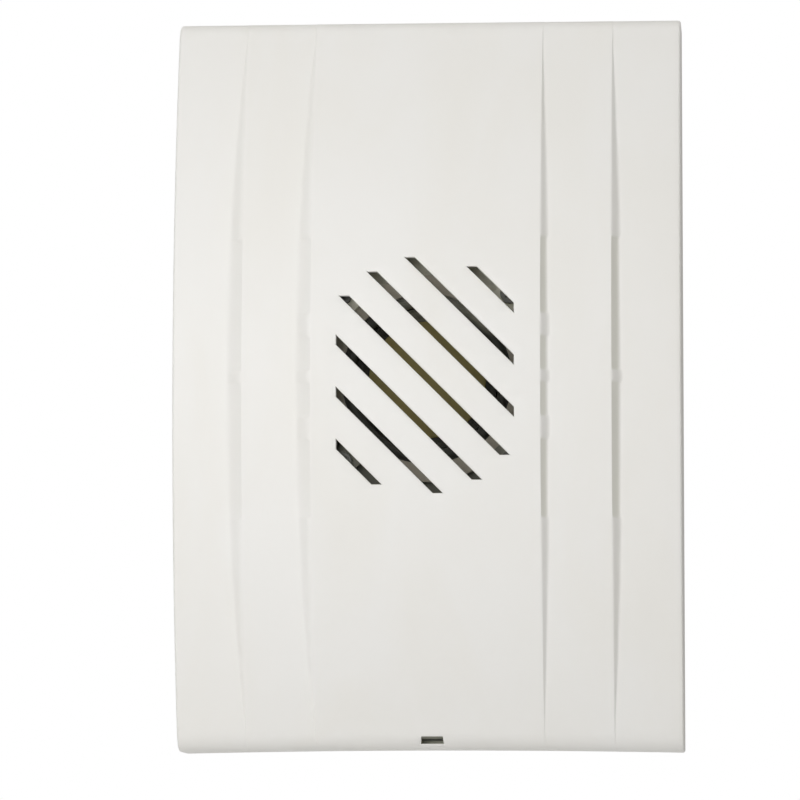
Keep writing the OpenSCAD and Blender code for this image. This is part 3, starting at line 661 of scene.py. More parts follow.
    def _skin(
        self, form: BowForm, rows: Sequence[float], outer: bool
    ) -> Tuple[List[List[Vert]], List[List[Vert]]]:
        """Builds one skin with its openings left free.

        Args:
            form: Skin to build.
            rows: Path lengths of its rows.
            outer: Whether the edges of the openings are rounded.

        Returns:
            The grid of points and the outlines of the openings.
        """
        grid = self._grid(form, rows)
        grow = self.slot_round if outer else 0.0
        wide, near, far, deep = self.release_patch
        low = self._row_at(rows, -form.roll_path(far if outer else deep))
        high = self._row_at(rows, -form.roll_path(near))
        grille = (
            self._column_at(-self.patch_half),
            self._column_at(self.patch_half),
            self._row_at(rows, -self.patch_height),
            self._row_at(rows, self.patch_height),
        )
        release = (self._column_at(-wide), self._column_at(wide), low, high)
        skipped = set()
        for c0, c1, r0, r1 in (grille, release):
            skipped |= {(c, r) for c in range(c0, c1) for r in range(r0, r1)}
        for c in range(len(grid) - 1):
            for r in range(len(rows) - 1):
                if (c, r) not in skipped:
                    self.mesh.faces.new((grid[c][r], grid[c + 1][r], grid[c + 1][r + 1], grid[c][r + 1]))
        loops = self._patch(form, rows, grid, grille, [slot.loop(form, grow) for slot in self.grille])
        loops += self._patch(form, rows, grid, release, [self.release.loop(form, grow)])
        for side in (0, -1):
            self.mesh.faces.new(grid[side])
        return grid, loops

    def _spot(self, x: float, depth: float, z: float) -> Vert:
        """Adds a point from millimetres."""
        return self.mesh.verts.new(Vector((x, -depth, z)) * MM)

    def _plate(self, outline: Sequence[Point], low: float, high: float) -> None:
        """Adds a plate: an outline in depth and height, drawn out across.

        Args:
            outline: Points (depth, z).
            low: Place across of its left face.
            high: Place across of its right face.
        """
        ends = [[self._spot(x, depth, z) for depth, z in outline] for x in (low, high)]
        self._strip(ends[0], ends[1], closed=True)
        for end in ends:
            self.mesh.faces.new(end)

    def _fittings(self) -> None:
        """Adds the hinge lugs and the rib that the catch holds."""
        depth, z, room = *self.pin, self.pin_room
        turns = [math.pi * i / self.pin_steps for i in range(self.pin_steps + 1)]
        arc = [(depth - room * math.cos(a), z + room * math.sin(a)) for a in turns]
        lug = [*self.lug_back, *arc, *self.lug_front]
        for side in (-1, 1):
            for low, high in self.lugs:
                self._plate(lug, min(side * low, side * high), max(side * low, side * high))
        self._plate(self.rib, -self.rib_half, self.rib_half)

    def build(self) -> bpy.types.Object:
        """Builds the cover.

        Returns:
            The finished object, riding on the cover body.
        """
        grid_out, loops_out = self._skin(OUTER, self.rows, True)
        inner_rows = self._rows(INNER)
        grid_in, loops_in = self._skin(INNER, inner_rows, False)
        for opening, top, bottom in zip(self.grille + [self.release], loops_out, loops_in):
            last = top
            for grow, inset in self.slot_edge:
                line = [self.mesh.verts.new(OUTER.place(x, t, inset)) for x, t in opening.loop(OUTER, grow)]
                self._strip(last, line, closed=True)
                last = line
            if opening.on_roll:
                line = [self.mesh.verts.new(spot) for spot in opening.pocket()]
                self._strip(last, line, closed=True)
                last = line
            self._strip(last, bottom, closed=True)
        for end in (0, -1):
            self._strip([line[end] for line in grid_out], [line[end] for line in grid_in])
        for side in (0, -1):
            self.mesh.faces.new((grid_out[side][0], grid_out[side][-1], grid_in[side][-1], grid_in[side][0]))
        self._fittings()
        bmesh.ops.recalc_face_normals(self.mesh, faces=self.mesh.faces[:])
        data = bpy.data.meshes.new("cover_shell")
        self.mesh.to_mesh(data)
        self.mesh.free()
        data.shade_smooth()
        data.set_sharp_from_angle(angle=math.radians(self.sharp_angle))
        shell = bpy.data.objects.new("cover_shell", data)
        bpy.context.scene.collection.objects.link(shell)
        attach(shell, Body.COVER.value)
        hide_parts("front_cover")
        LOG.info("cover_shell: %d faces", len(data.polygons))
        return shell


class Net:
    """Short way to add and join the nodes of one shader tree."""

    def __init__(self, tree: bpy.types.NodeTree) -> None:
        """Takes the tree that gets the nodes."""
        self.tree = tree

    def add(self, kind: str, **inputs: object) -> bpy.types.Node:
        """Adds a node.

        Args:
            kind: Blender's name of the node type.
            inputs: Values or sockets for its inputs, by name with underscores for spaces. A name that is a property
                of the node sets that property.

        Returns:
            The node.
        """
        node = self.tree.nodes.new(kind)
        for name, item in inputs.items():
            if hasattr(node, name):
                setattr(node, name, item)
        for name, item in inputs.items():
            if not hasattr(node, name):
                self.feed(node.inputs[name.replace("_", " ")], item)
        return node

    def feed(self, socket: Socket, item: object) -> None:
        """Joins a socket to an input, or sets the input's value.

        Args:
            socket: The input.
            item: Socket, colour or number for it.
        """
        if isinstance(item, bpy.types.NodeSocket):
            self.tree.links.new(item, socket)
        elif isinstance(item, tuple) and len(item) == 3 and socket.type == "RGBA":
            socket.default_value = (*item, 1.0)
        else:
            socket.default_value = item

    def math(self, operation: str, a: object, b: object = 0.0, c: object = 0.0) -> Socket:
        """Adds a sum, product or other step between two numbers.

        Args:
            operation: Blender's name of the operation.
            a: First number or socket.
            b: Second number or socket.
            c: Third number or socket, where the operation has one.

        Returns:
            The result.
        """
        node = self.tree.nodes.new("ShaderNodeMath")
        node.operation = operation
        for socket, item in zip(node.inputs, (a, b, c)):
            self.feed(socket, item)
        return node.outputs[0]

    def times(self, *items: object) -> Socket:
        """Product of two or more numbers or sockets.

        Args:
            items: The numbers or sockets.

        Returns:
            The product.
        """
        product = items[0]
        for item in items[1:]:
            product = self.math("MULTIPLY", product, item)
        return product

    def length(self, a: Socket, b: Socket) -> Socket:
        """Length of the diagonal over two numbers."""
        return self.math("SQRT", self.math("ADD", self.times(a, a), self.times(b, b)))

    def band(self, value: object, low: float, high: float, out_low: float = 0.0, out_high: float = 1.0) -> Socket:
        """Maps a range of numbers to another range, smoothly and held at its ends.

        Args:
            value: Number or socket.
            low: Start of the range.
            high: End of the range, which may be below its start.
            out_low: Result at the start.
            out_high: Result at the end.

        Returns:
            The mapped number.
        """
        ends = {"From_Min": low, "From_Max": high, "To_Min": out_low, "To_Max": out_high}
        node = self.add("ShaderNodeMapRange", interpolation_type="SMOOTHSTEP", Value=value, **ends)
        return node.outputs["Result"]

    def mix(self, factor: object, a: object, b: object) -> Socket:
        """Mixes two colours.

        Args:
            factor: Share of the second colour.
            a: First colour or socket.
            b: Second colour or socket.

        Returns:
            The mixed colour.
        """
        node = self.tree.nodes.new("ShaderNodeMix")
        node.data_type = "RGBA"
        # Inputs 6 and 7 and output 2 are the colour sockets of this node.
        self.feed(node.inputs[0], factor)
        self.feed(node.inputs[6], a)
        self.feed(node.inputs[7], b)
        return node.outputs[2]

    def noise(self, place: Socket, scale: object, **inputs: float) -> Socket:
        """Cloudy noise from 0 to 1."""
        return self.add("ShaderNodeTexNoise", Vector=place, Scale=scale, **inputs).outputs["Fac"]

    def chance(self, x: Socket, y: Socket) -> Socket:
        """Chance number from 0 to 1 that stays the same at a pair of whole numbers."""
        spot = self.add("ShaderNodeCombineXYZ", X=x, Y=y).outputs[0]
        return self.add("ShaderNodeTexWhiteNoise", noise_dimensions="2D", Vector=spot).outputs["Value"]

    def split(self, vector: Socket) -> Tuple[Socket, Socket, Socket]:
        """Parts of a vector."""
        node = self.add("ShaderNodeSeparateXYZ", Vector=vector)
        return node.outputs[0], node.outputs[1], node.outputs[2]


class Effects:
    """Node groups that several finishes share, each made once."""

    def __init__(self) -> None:
        """Makes the groups."""
        self.grain = self._grain()
        self.wear = self._wear()
        self.dust = self._dust()
        self.fleck = self._fleck()

    @staticmethod
    def _start(name: str, inputs: Sequence[str], outputs: Sequence[str]) -> Tuple[bpy.types.NodeTree, Net, Dict, Dict]:
        """Starts a group.

        Args:
            name: Name of the group.
            inputs: Names of its number inputs, beside the place.
            outputs: Names of its number outputs.

        Returns:
            The tree, its builder, its input sockets and its output sockets.
        """
        tree = bpy.data.node_groups.new(name, "ShaderNodeTree")
        tree.interface.new_socket("Vector", in_out="INPUT", socket_type="NodeSocketVector")
        for key in inputs:
            tree.interface.new_socket(key, in_out="INPUT", socket_type="NodeSocketFloat")
        for key in outputs:
            tree.interface.new_socket(key, in_out="OUTPUT", socket_type="NodeSocketFloat")
        source, sink = tree.nodes.new("NodeGroupInput"), tree.nodes.new("NodeGroupOutput")
        given = {key: source.outputs[key] for key in ("Vector", *inputs)}
        return tree, Net(tree), given, {key: sink.inputs[key] for key in outputs}

    def _grain(self) -> bpy.types.NodeTree:
        """Makes fine surface grain over a slow change of tone.

        Returns:
            The group.
        """
        tree, net, given, out = self._start("fx_grain", ("Scale",), ("Height", "Tone"))
        fine = net.noise(given["Vector"], given["Scale"], Detail=4.0, Roughness=0.6)
        slow = net.noise(given["Vector"], net.times(given["Scale"], 0.02), Detail=3.0)
        net.feed(out["Height"], fine)
        net.feed(out["Tone"], net.math("ADD", net.times(fine, 0.35), net.times(slow, 0.65)))
        return tree

    def _wear(self) -> bpy.types.NodeTree:
        """Makes rubbed outer edges, broken up by noise.

        Returns:
            The group.
        """
        tree, net, given, out = self._start("fx_wear", ("Amount",), ("Mask",))
        edge = net.band(net.add("ShaderNodeNewGeometry").outputs["Pointiness"], 0.515, 0.6)
        broken = net.noise(given["Vector"], 260.0, Detail=5.0)
        net.feed(out["Mask"], net.times(edge, net.band(broken, 0.4, 0.65), given["Amount"]))
        return tree

    def _dust(self) -> bpy.types.NodeTree:
        """Makes dust on faces that look up, thicker in patches.

        Returns:
            The group.
        """
        tree, net, given, out = self._start("fx_dust", ("Amount",), ("Mask",))
        up = net.split(net.add("ShaderNodeNewGeometry").outputs["Normal"])[2]
        patch = net.noise(given["Vector"], 90.0, Detail=6.0, Roughness=0.65)
        net.feed(out["Mask"], net.times(net.band(up, 0.2, 0.95), net.band(patch, 0.3, 0.75), given["Amount"]))
        return tree

    def _fleck(self) -> bpy.types.NodeTree:
        """Makes few small flecks, such as pits and bits of fluff.

        Returns:
            The group.
        """
        tree, net, given, out = self._start("fx_fleck", ("Scale", "Size"), ("Mask",))
        cells = net.add("ShaderNodeTexVoronoi", Vector=given["Vector"], Scale=given["Scale"])
        kind = net.add("ShaderNodeSeparateColor", Color=cells.outputs["Color"]).outputs[0]
        spot = net.math("LESS_THAN", cells.outputs["Distance"], given["Size"])
        net.feed(out["Mask"], net.times(net.math("GREATER_THAN", kind, 0.93), spot))
        return tree


class Pattern(Enum):
    """Ways a finish is drawn on a piece."""

    PLAIN = "plain"
    BRUSHED = "brushed"
    SHEETS = "sheets"
    TURNS = "turns"
    TRACKS = "tracks"
    BANDS = "bands"
    RINGS = "rings"
    SLEEVE = "sleeve"
    PAIR = "pair"


DUST_TONE: Colour = (0.55, 0.53, 0.5)
HOLE_TONE: Colour = (0.02, 0.02, 0.02)
SOLDER_TONE: Colour = (0.55, 0.53, 0.47)
CAN_TONE: Colour = (0.6, 0.6, 0.6)
WORN_GAIN, WORN_LIFT = 1.25, 0.05
ROUGH_SPREAD, DUST_ROUGH = 0.16, 0.3
BUMP_DEPTH = 0.0002
BRUSH_STRETCH = (1.0, 0.6, 0.04)
SHEET_PITCH = 0.0005
TURN_PITCH = 0.0052
RING_PITCH = 0.0016
BOARD_GRID = 0.00254
TRACK_EDGE, PAD_EDGE, HOLE_EDGE = (0.22, 0.16), (0.38, 0.33), (0.16, 0.12)
PAD_CHANCE = 0.82
OUTER_LEAD = (0.0778, 0.036, -0.031)
SLEEVE_STRIPE, SLEEVE_END = (0.0021, 0.0023), (-0.0135, -0.01355)
RESISTOR_ROWS = (0.0, 0.0155)
RESISTOR_EDGE = (0.00036, 0.0003)
RESISTOR_RINGS: Tuple[Tuple[float, Colour], ...] = (
    (-0.0021, (0.3, 0.12, 0.03)),
    (-0.001, (0.02, 0.02, 0.02)),
    (0.0001, (0.6, 0.08, 0.04)),
    (0.0019, (0.62, 0.45, 0.14)),
)


@dataclass(frozen=True)
class PaintedLight:
    """Painted light: a paler patch on the upper right part of a piece, standing in for light that falls there, in
    metres.
    """

    share: float = 0.0
    tone: Colour = (0.5, 0.48, 0.4)
    start: Point = (-0.2, 0.0)
    soft: float = 0.002

    def mask(self, net: Net, place: Socket) -> Socket:
        """Finds the share of painted light, in faint patches.

        Args:
            net: Builder of the material's tree.
            place: Place on the piece, in metres.

        Returns:
            The share.
        """
        x, _, z = net.split(place)
        left, low = self.start
        part = net.times(
            net.band(x, left - self.soft, left + self.soft),
            net.band(z, low - self.soft, low + self.soft),
        )
        patch = net.noise(place, 420.0, Detail=3.0)
        return net.times(part, self.share, net.band(patch, 0.2, 0.6, 0.85, 1.0))


# Painted light: the upper part of the speaker's cone and surround is made paler, standing in for light that falls
# there through the slots.
SPEAKER_PAINTED_LIGHT = PaintedLight(1.0, (0.24, 0.235, 0.19), (-0.0075, 0.012))
# Painted light: the clip plate's upper part is made paler, standing in for the light that reaches it.
CLIP_PAINTED_LIGHT = PaintedLight(1.0, (0.76, 0.74, 0.60), (-0.2, 0.005), 0.012)


@dataclass(frozen=True)
class Finish:
    """A procedural surface: two tones, grain, wear, dust, a drawn pattern and a patch of painted light."""

    name: str
    tone: Colour
    shade: Colour
    rough: float
    grain: float = 900.0
    bump: float = 0.15
    metal: float = 0.0
    coat: float = 0.0
    wear: float = 0.0
    dust: float = 0.15
    mix: float = 0.5
    pattern: Pattern = Pattern.PLAIN
    accent: Colour = (0.5, 0.5, 0.5)
    middle: Tuple[float, float, float] = (0.0, 0.0, 0.0)
    edge: float = 0.0002
    # Patch of painted light, paler where light falls on the piece.
    painted_light: PaintedLight = PaintedLight()

    def material(self, effects: Effects) -> bpy.types.Material:
        """Builds the material.

        Args:
            effects: Shared node groups.

        Returns:
            The material.
        """
        material = bpy.data.materials.new(self.name)
        material.use_nodes = True
        net = Net(material.node_tree)
        shader = material.node_tree.nodes["Principled BSDF"]
        place = net.add("ShaderNodeTexCoord").outputs["Object"]
        spread = self._stretched(net, place)
        grain = net.add("ShaderNodeGroup", node_tree=effects.grain, Vector=spread, Scale=self.grain)
        colour = net.mix(net.times(grain.outputs["Tone"], self.mix), self.tone, self.shade)
        colour, height = self._drawn(net, place, colour, grain.outputs["Height"])
        # Painted light: a paler patch mixed in where light falls on the upper part.
        colour = net.mix(self.painted_light.mask(net, place), colour, self.painted_light.tone)
        wear = net.add("ShaderNodeGroup", node_tree=effects.wear, Vector=place, Amount=self.wear)
        light = tuple(min(1.0, c * WORN_GAIN + WORN_LIFT) for c in self.tone)
        colour = net.mix(wear.outputs["Mask"], colour, light)
        dust = net.add("ShaderNodeGroup", node_tree=effects.dust, Vector=place, Amount=self.dust)
        colour = net.mix(dust.outputs["Mask"], colour, DUST_TONE)
        rough = net.math("ADD", net.times(grain.outputs["Tone"], ROUGH_SPREAD), self.rough - ROUGH_SPREAD / 2.0)
        rough = net.math("ADD", rough, net.times(dust.outputs["Mask"], DUST_ROUGH))
        rounded = net.add("ShaderNodeBevel", samples=4, Radius=self.edge).outputs[0]
        bump = net.add("ShaderNodeBump", Strength=self.bump, Distance=BUMP_DEPTH, Height=height, Normal=rounded)
        net.feed(shader.inputs["Base Color"], colour)
        net.feed(shader.inputs["Roughness"], rough)
        net.feed(shader.inputs["Normal"], bump.outputs[0])
        shader.inputs["Metallic"].default_value = self.metal
        shader.inputs["Coat Weight"].default_value = self.coat
        return material

    def _stretched(self, net: Net, place: Socket) -> Socket:
        """Finds the place for the grain, drawn out along one way for brushed metal.

        Args:
            net: Builder of the material's tree.
            place: Place on the piece, in metres.

        Returns:
            The place to use.
        """
        if self.pattern is not Pattern.BRUSHED:
            return place
        return net.add("ShaderNodeMapping", Vector=place, Scale=BRUSH_STRETCH).outputs[0]

    def _drawn(self, net: Net, place: Socket, colour: Socket, height: Socket) -> Tuple[Socket, Socket]:
        """Draws the pattern over the grain.

        Args:
            net: Builder of the material's tree.
            place: Place on the piece, in metres.
            colour: Colour so far.
            height: Bump height so far.

        Returns:
            The new colour and height.
        """
        shift = net.add("ShaderNodeVectorMath", operation="SUBTRACT")
        net.feed(shift.inputs[0], place)
        shift.inputs[1].default_value = self.middle
        x, y, z = net.split(shift.outputs[0])
        if self.pattern is Pattern.SHEETS:
            gap = net.band(self._lines(net, y, SHEET_PITCH), 0.0, 0.35)
            return net.mix(gap, self.accent, colour), net.math("ADD", net.times(height, 0.3), gap)
        if self.pattern is Pattern.TURNS:
            edge = net.band(self._lines(net, z, TURN_PITCH), 0.02, 0.1)
            return net.mix(edge, self.accent, colour), net.math("ADD", net.times(height, 0.4), edge)
        if self.pattern is Pattern.TRACKS:
            return self._tracks(net, place, colour, height)
        if self.pattern is Pattern.BANDS:
            return self._bands(net, z, colour), height
        if self.pattern is Pattern.RINGS:
            wave = net.math("SINE", net.times(net.length(x, z), math.tau / RING_PITCH))
            ring = net.math("MULTIPLY_ADD", wave, 0.5, 0.5)
            colour = net.mix(net.times(ring, 0.35), colour, self.accent)
            return colour, net.math("ADD", height, net.times(ring, 1.6))
        if self.pattern is Pattern.SLEEVE:
            colour = net.mix(net.band(x, *SLEEVE_STRIPE), colour, self.accent)
            return net.mix(net.band(y, *SLEEVE_END), colour, CAN_TONE), height
        if self.pattern is Pattern.PAIR:
            top, right, left = OUTER_LEAD
            outer = net.math("MAXIMUM", net.math("GREATER_THAN", z, top), net.math("GREATER_THAN", x, right))
            outer = net.math("MAXIMUM", outer, net.math("LESS_THAN", x, left))
            return net.mix(outer, colour, self.accent), height
        return colour, height

    @staticmethod
    def _lines(net: Net, value: Socket, pitch: float) -> Socket:
        """Distance from evenly spaced lines, from 0 on a line to 1 between two."""
        return net.math("ABSOLUTE", net.math("SINE", net.times(value, math.pi / pitch)))

    @staticmethod
    def _track(net: Net, along: Socket, over: Socket, length: float, share: float) -> Socket:
        """Draws tracks that run one way, broken into pieces at chance places of the board's grid.

        Args:
            net: Builder of the material's tree.
            along: Place along the tracks, in grid steps.
            over: Place across the tracks, in grid steps.
            length: Length of a piece, in grid steps.
            share: Share of the pieces that are left out.

        Returns:
            The mask.
        """
        row = net.math("FLOOR", over)
        start = net.add("ShaderNodeTexWhiteNoise", noise_dimensions="1D", W=row).outputs["Value"]
        part = net.math("FLOOR", net.math("ADD", net.math("DIVIDE", along, length), net.times(start, 7.0)))
        off = net.math("ABSOLUTE", net.math("SUBTRACT", net.math("FRACT", over), 0.5))
        return net.times(net.math("GREATER_THAN", net.chance(part, row), share), net.band(off, *TRACK_EDGE))

    def _tracks(self, net: Net, place: Socket, colour: Socket, height: Socket) -> Tuple[Socket, Socket]:
        """Draws copper tracks and solder pads under the lacquer of a board.

        Args:
            net: Builder of the material's tree.
            place: Place on the board, in metres.
            colour: Colour so far.
            height: Bump height so far.

        Returns:
            The new colour and height.
        """
        x, _, z = net.split(place)
        across, up = net.math("DIVIDE", x, BOARD_GRID), net.math("DIVIDE", z, BOARD_GRID)
        track = net.math("MAXIMUM", self._track(net, across, up, 5.0, 0.45), self._track(net, up, across, 4.0, 0.7))
        side, rise = (net.math("SUBTRACT", net.math("FRACT", part), 0.5) for part in (across, up))
        off = net.length(side, rise)
        chance = net.chance(net.math("FLOOR", across), net.math("FLOOR", up))
        pad = net.times(net.math("GREATER_THAN", chance, PAD_CHANCE), net.band(off, *PAD_EDGE))
        hole = net.times(pad, net.band(off, *HOLE_EDGE))
        colour = net.mix(net.times(track, 0.6), colour, self.accent)
        colour = net.mix(hole, net.mix(pad, colour, SOLDER_TONE), HOLE_TONE)
        return colour, net.math("ADD", net.times(height, 0.3), net.math("ADD", net.times(track, 0.6), pad))

    @staticmethod
    def _bands(net: Net, z: Socket, colour: Socket) -> Socket:
        """Draws the colour rings of resistors round their length.

        Args:
            net: Builder of the material's tree.
            z: Height from the middle of the lower row.
            colour: Colour so far.

        Returns:
            The new colour.
        """
        for row in RESISTOR_ROWS:
            for at, ring in RESISTOR_RINGS:
                off = net.math("ABSOLUTE", net.math("SUBTRACT", z, row + at))
                colour = net.mix(net.band(off, *RESISTOR_EDGE), colour, ring)
        return colour


FINISH_LIST = (
    Finish("base_grey", (0.58, 0.58, 0.55), (0.53, 0.53, 0.50), 0.5, mix=0.3, wear=0.25, dust=0.3, edge=0.0004),
    Finish("catch_grey", (0.40, 0.40, 0.36), (0.33, 0.33, 0.30), 0.45, wear=0.4),
    Finish("grommet_rubber", (0.035, 0.035, 0.036), (0.06, 0.058, 0.055), 0.75, grain=500.0, bump=0.3, dust=0.35),
    Finish(
        "screw_steel", (0.44, 0.43, 0.40), (0.30, 0.29, 0.26), 0.36,
        metal=1.0, grain=1400.0, wear=0.5, edge=0.00015,
    ),
    Finish("terminal_ivory", (0.80, 0.77, 0.68), (0.72, 0.67, 0.55), 0.35, wear=0.2, coat=0.2),
    Finish("terminal_brass", (0.70, 0.52, 0.24), (0.48, 0.33, 0.13), 0.35, metal=1.0, grain=1500.0, wear=0.4),
    Finish(
        "core_steel", (0.17, 0.17, 0.18), (0.26, 0.23, 0.19), 0.42,
        metal=0.7, grain=700.0, pattern=Pattern.SHEETS, accent=(0.03, 0.028, 0.025), dust=0.4,
    ),
    Finish("bobbin_nylon", (0.74, 0.71, 0.60), (0.66, 0.60, 0.46), 0.4, coat=0.1),
    Finish(
        "winding_tape", (0.78, 0.58, 0.09), (0.66, 0.45, 0.05), 0.28,
        coat=0.4, pattern=Pattern.TURNS, accent=(0.42, 0.27, 0.03), middle=(0.0, 0.0, 0.0565),
    ),
    Finish(
        "lead_mains", (0.20, 0.08, 0.035), (0.15, 0.055, 0.02), 0.35,
        pattern=Pattern.PAIR, accent=(0.03, 0.11, 0.38),
    ),
    Finish("lead_low_voltage", (0.46, 0.03, 0.025), (0.36, 0.02, 0.018), 0.35),
    Finish(
        "board_green", (0.04, 0.17, 0.06), (0.03, 0.12, 0.045), 0.3,
        coat=0.5, pattern=Pattern.TRACKS, accent=(0.10, 0.30, 0.09),
    ),
    Finish(
        "capacitor_sleeve", (0.03, 0.04, 0.11), (0.025, 0.03, 0.08), 0.3,
        coat=0.3, pattern=Pattern.SLEEVE, accent=(0.5, 0.52, 0.56), middle=(-0.024, 0.0, -0.0505),
    ),
    Finish("component_black", (0.025, 0.025, 0.026), (0.045, 0.043, 0.04), 0.55, grain=1600.0, bump=0.3),
    Finish(
        "resistor_beige", (0.64, 0.49, 0.31), (0.55, 0.40, 0.23), 0.3,
        coat=0.4, pattern=Pattern.BANDS, middle=(0.0, 0.0, -0.066),
    ),
    Finish("leg_tin", (0.68, 0.68, 0.66), (0.5, 0.5, 0.47), 0.3, metal=1.0, grain=1500.0),
    Finish("trimmer_blue", (0.05, 0.17, 0.46), (0.04, 0.13, 0.36), 0.35, wear=0.2),
    Finish("rotor_white", (0.84, 0.83, 0.79), (0.76, 0.74, 0.68), 0.4),
    Finish(
        "basket_steel", (0.50, 0.49, 0.45), (0.36, 0.34, 0.29), 0.4,
        metal=1.0, pattern=Pattern.BRUSHED, wear=0.3, dust=0.3,
    ),
    Finish("gasket_card", (0.50, 0.46, 0.38), (0.38, 0.35, 0.29), 0.85, grain=1300.0, bump=0.5, dust=0.3),
    Finish(
        "surround_black", (0.05, 0.05, 0.042), (0.075, 0.074, 0.06), 0.7,
        grain=800.0, dust=0.4, painted_light=SPEAKER_PAINTED_LIGHT,
    ),
    Finish(
        "cone_paper", (0.05, 0.05, 0.042), (0.085, 0.083, 0.068), 0.85,
        grain=1100.0, bump=0.5, pattern=Pattern.RINGS, accent=(0.06, 0.056, 0.05), dust=0.4, painted_light=SPEAKER_PAINTED_LIGHT,
    ),
    Finish("cap_film", (0.50, 0.38, 0.13), (0.32, 0.29, 0.12), 0.7, grain=1600.0, mix=1.3, bump=0.3, dust=0.3),
    Finish("former_paper", (0.46, 0.31, 0.16), (0.36, 0.23, 0.11), 0.7, grain=1200.0),
    Finish("coil_copper", (0.60, 0.27, 0.11), (0.42, 0.17, 0.06), 0.3, metal=0.9, coat=0.3, pattern=Pattern.BRUSHED),
    Finish(
        "spider_cloth", (0.50, 0.35, 0.13), (0.38, 0.25, 0.08), 0.85,
        grain=1800.0, bump=0.8, pattern=Pattern.RINGS, accent=(0.34, 0.22, 0.07),
    ),
    Finish("plate_steel", (0.50, 0.49, 0.47), (0.40, 0.37, 0.31), 0.38, metal=1.0, pattern=Pattern.BRUSHED, wear=0.3),
    Finish("magnet_ferrite", (0.075, 0.075, 0.08), (0.13, 0.12, 0.115), 0.6, grain=1500.0, bump=0.4, wear=0.5),
    Finish("tag_card", (0.36, 0.20, 0.09), (0.28, 0.14, 0.055), 0.5, grain=1200.0),
    # Dark below and paler above: painted shade on the lower part and painted light on the upper part of the clip
    # plate.
    Finish("clip_grey", (0.22, 0.215, 0.17), (0.17, 0.165, 0.13), 0.6, wear=0.3, painted_light=CLIP_PAINTED_LIGHT),
    Finish("screw_dark", (0.10, 0.10, 0.09), (0.07, 0.068, 0.06), 0.5, metal=0.6, grain=1400.0, edge=0.00015),
)
FINISHES: Dict[str, Finish] = {finish.name: finish for finish in FINISH_LIST}


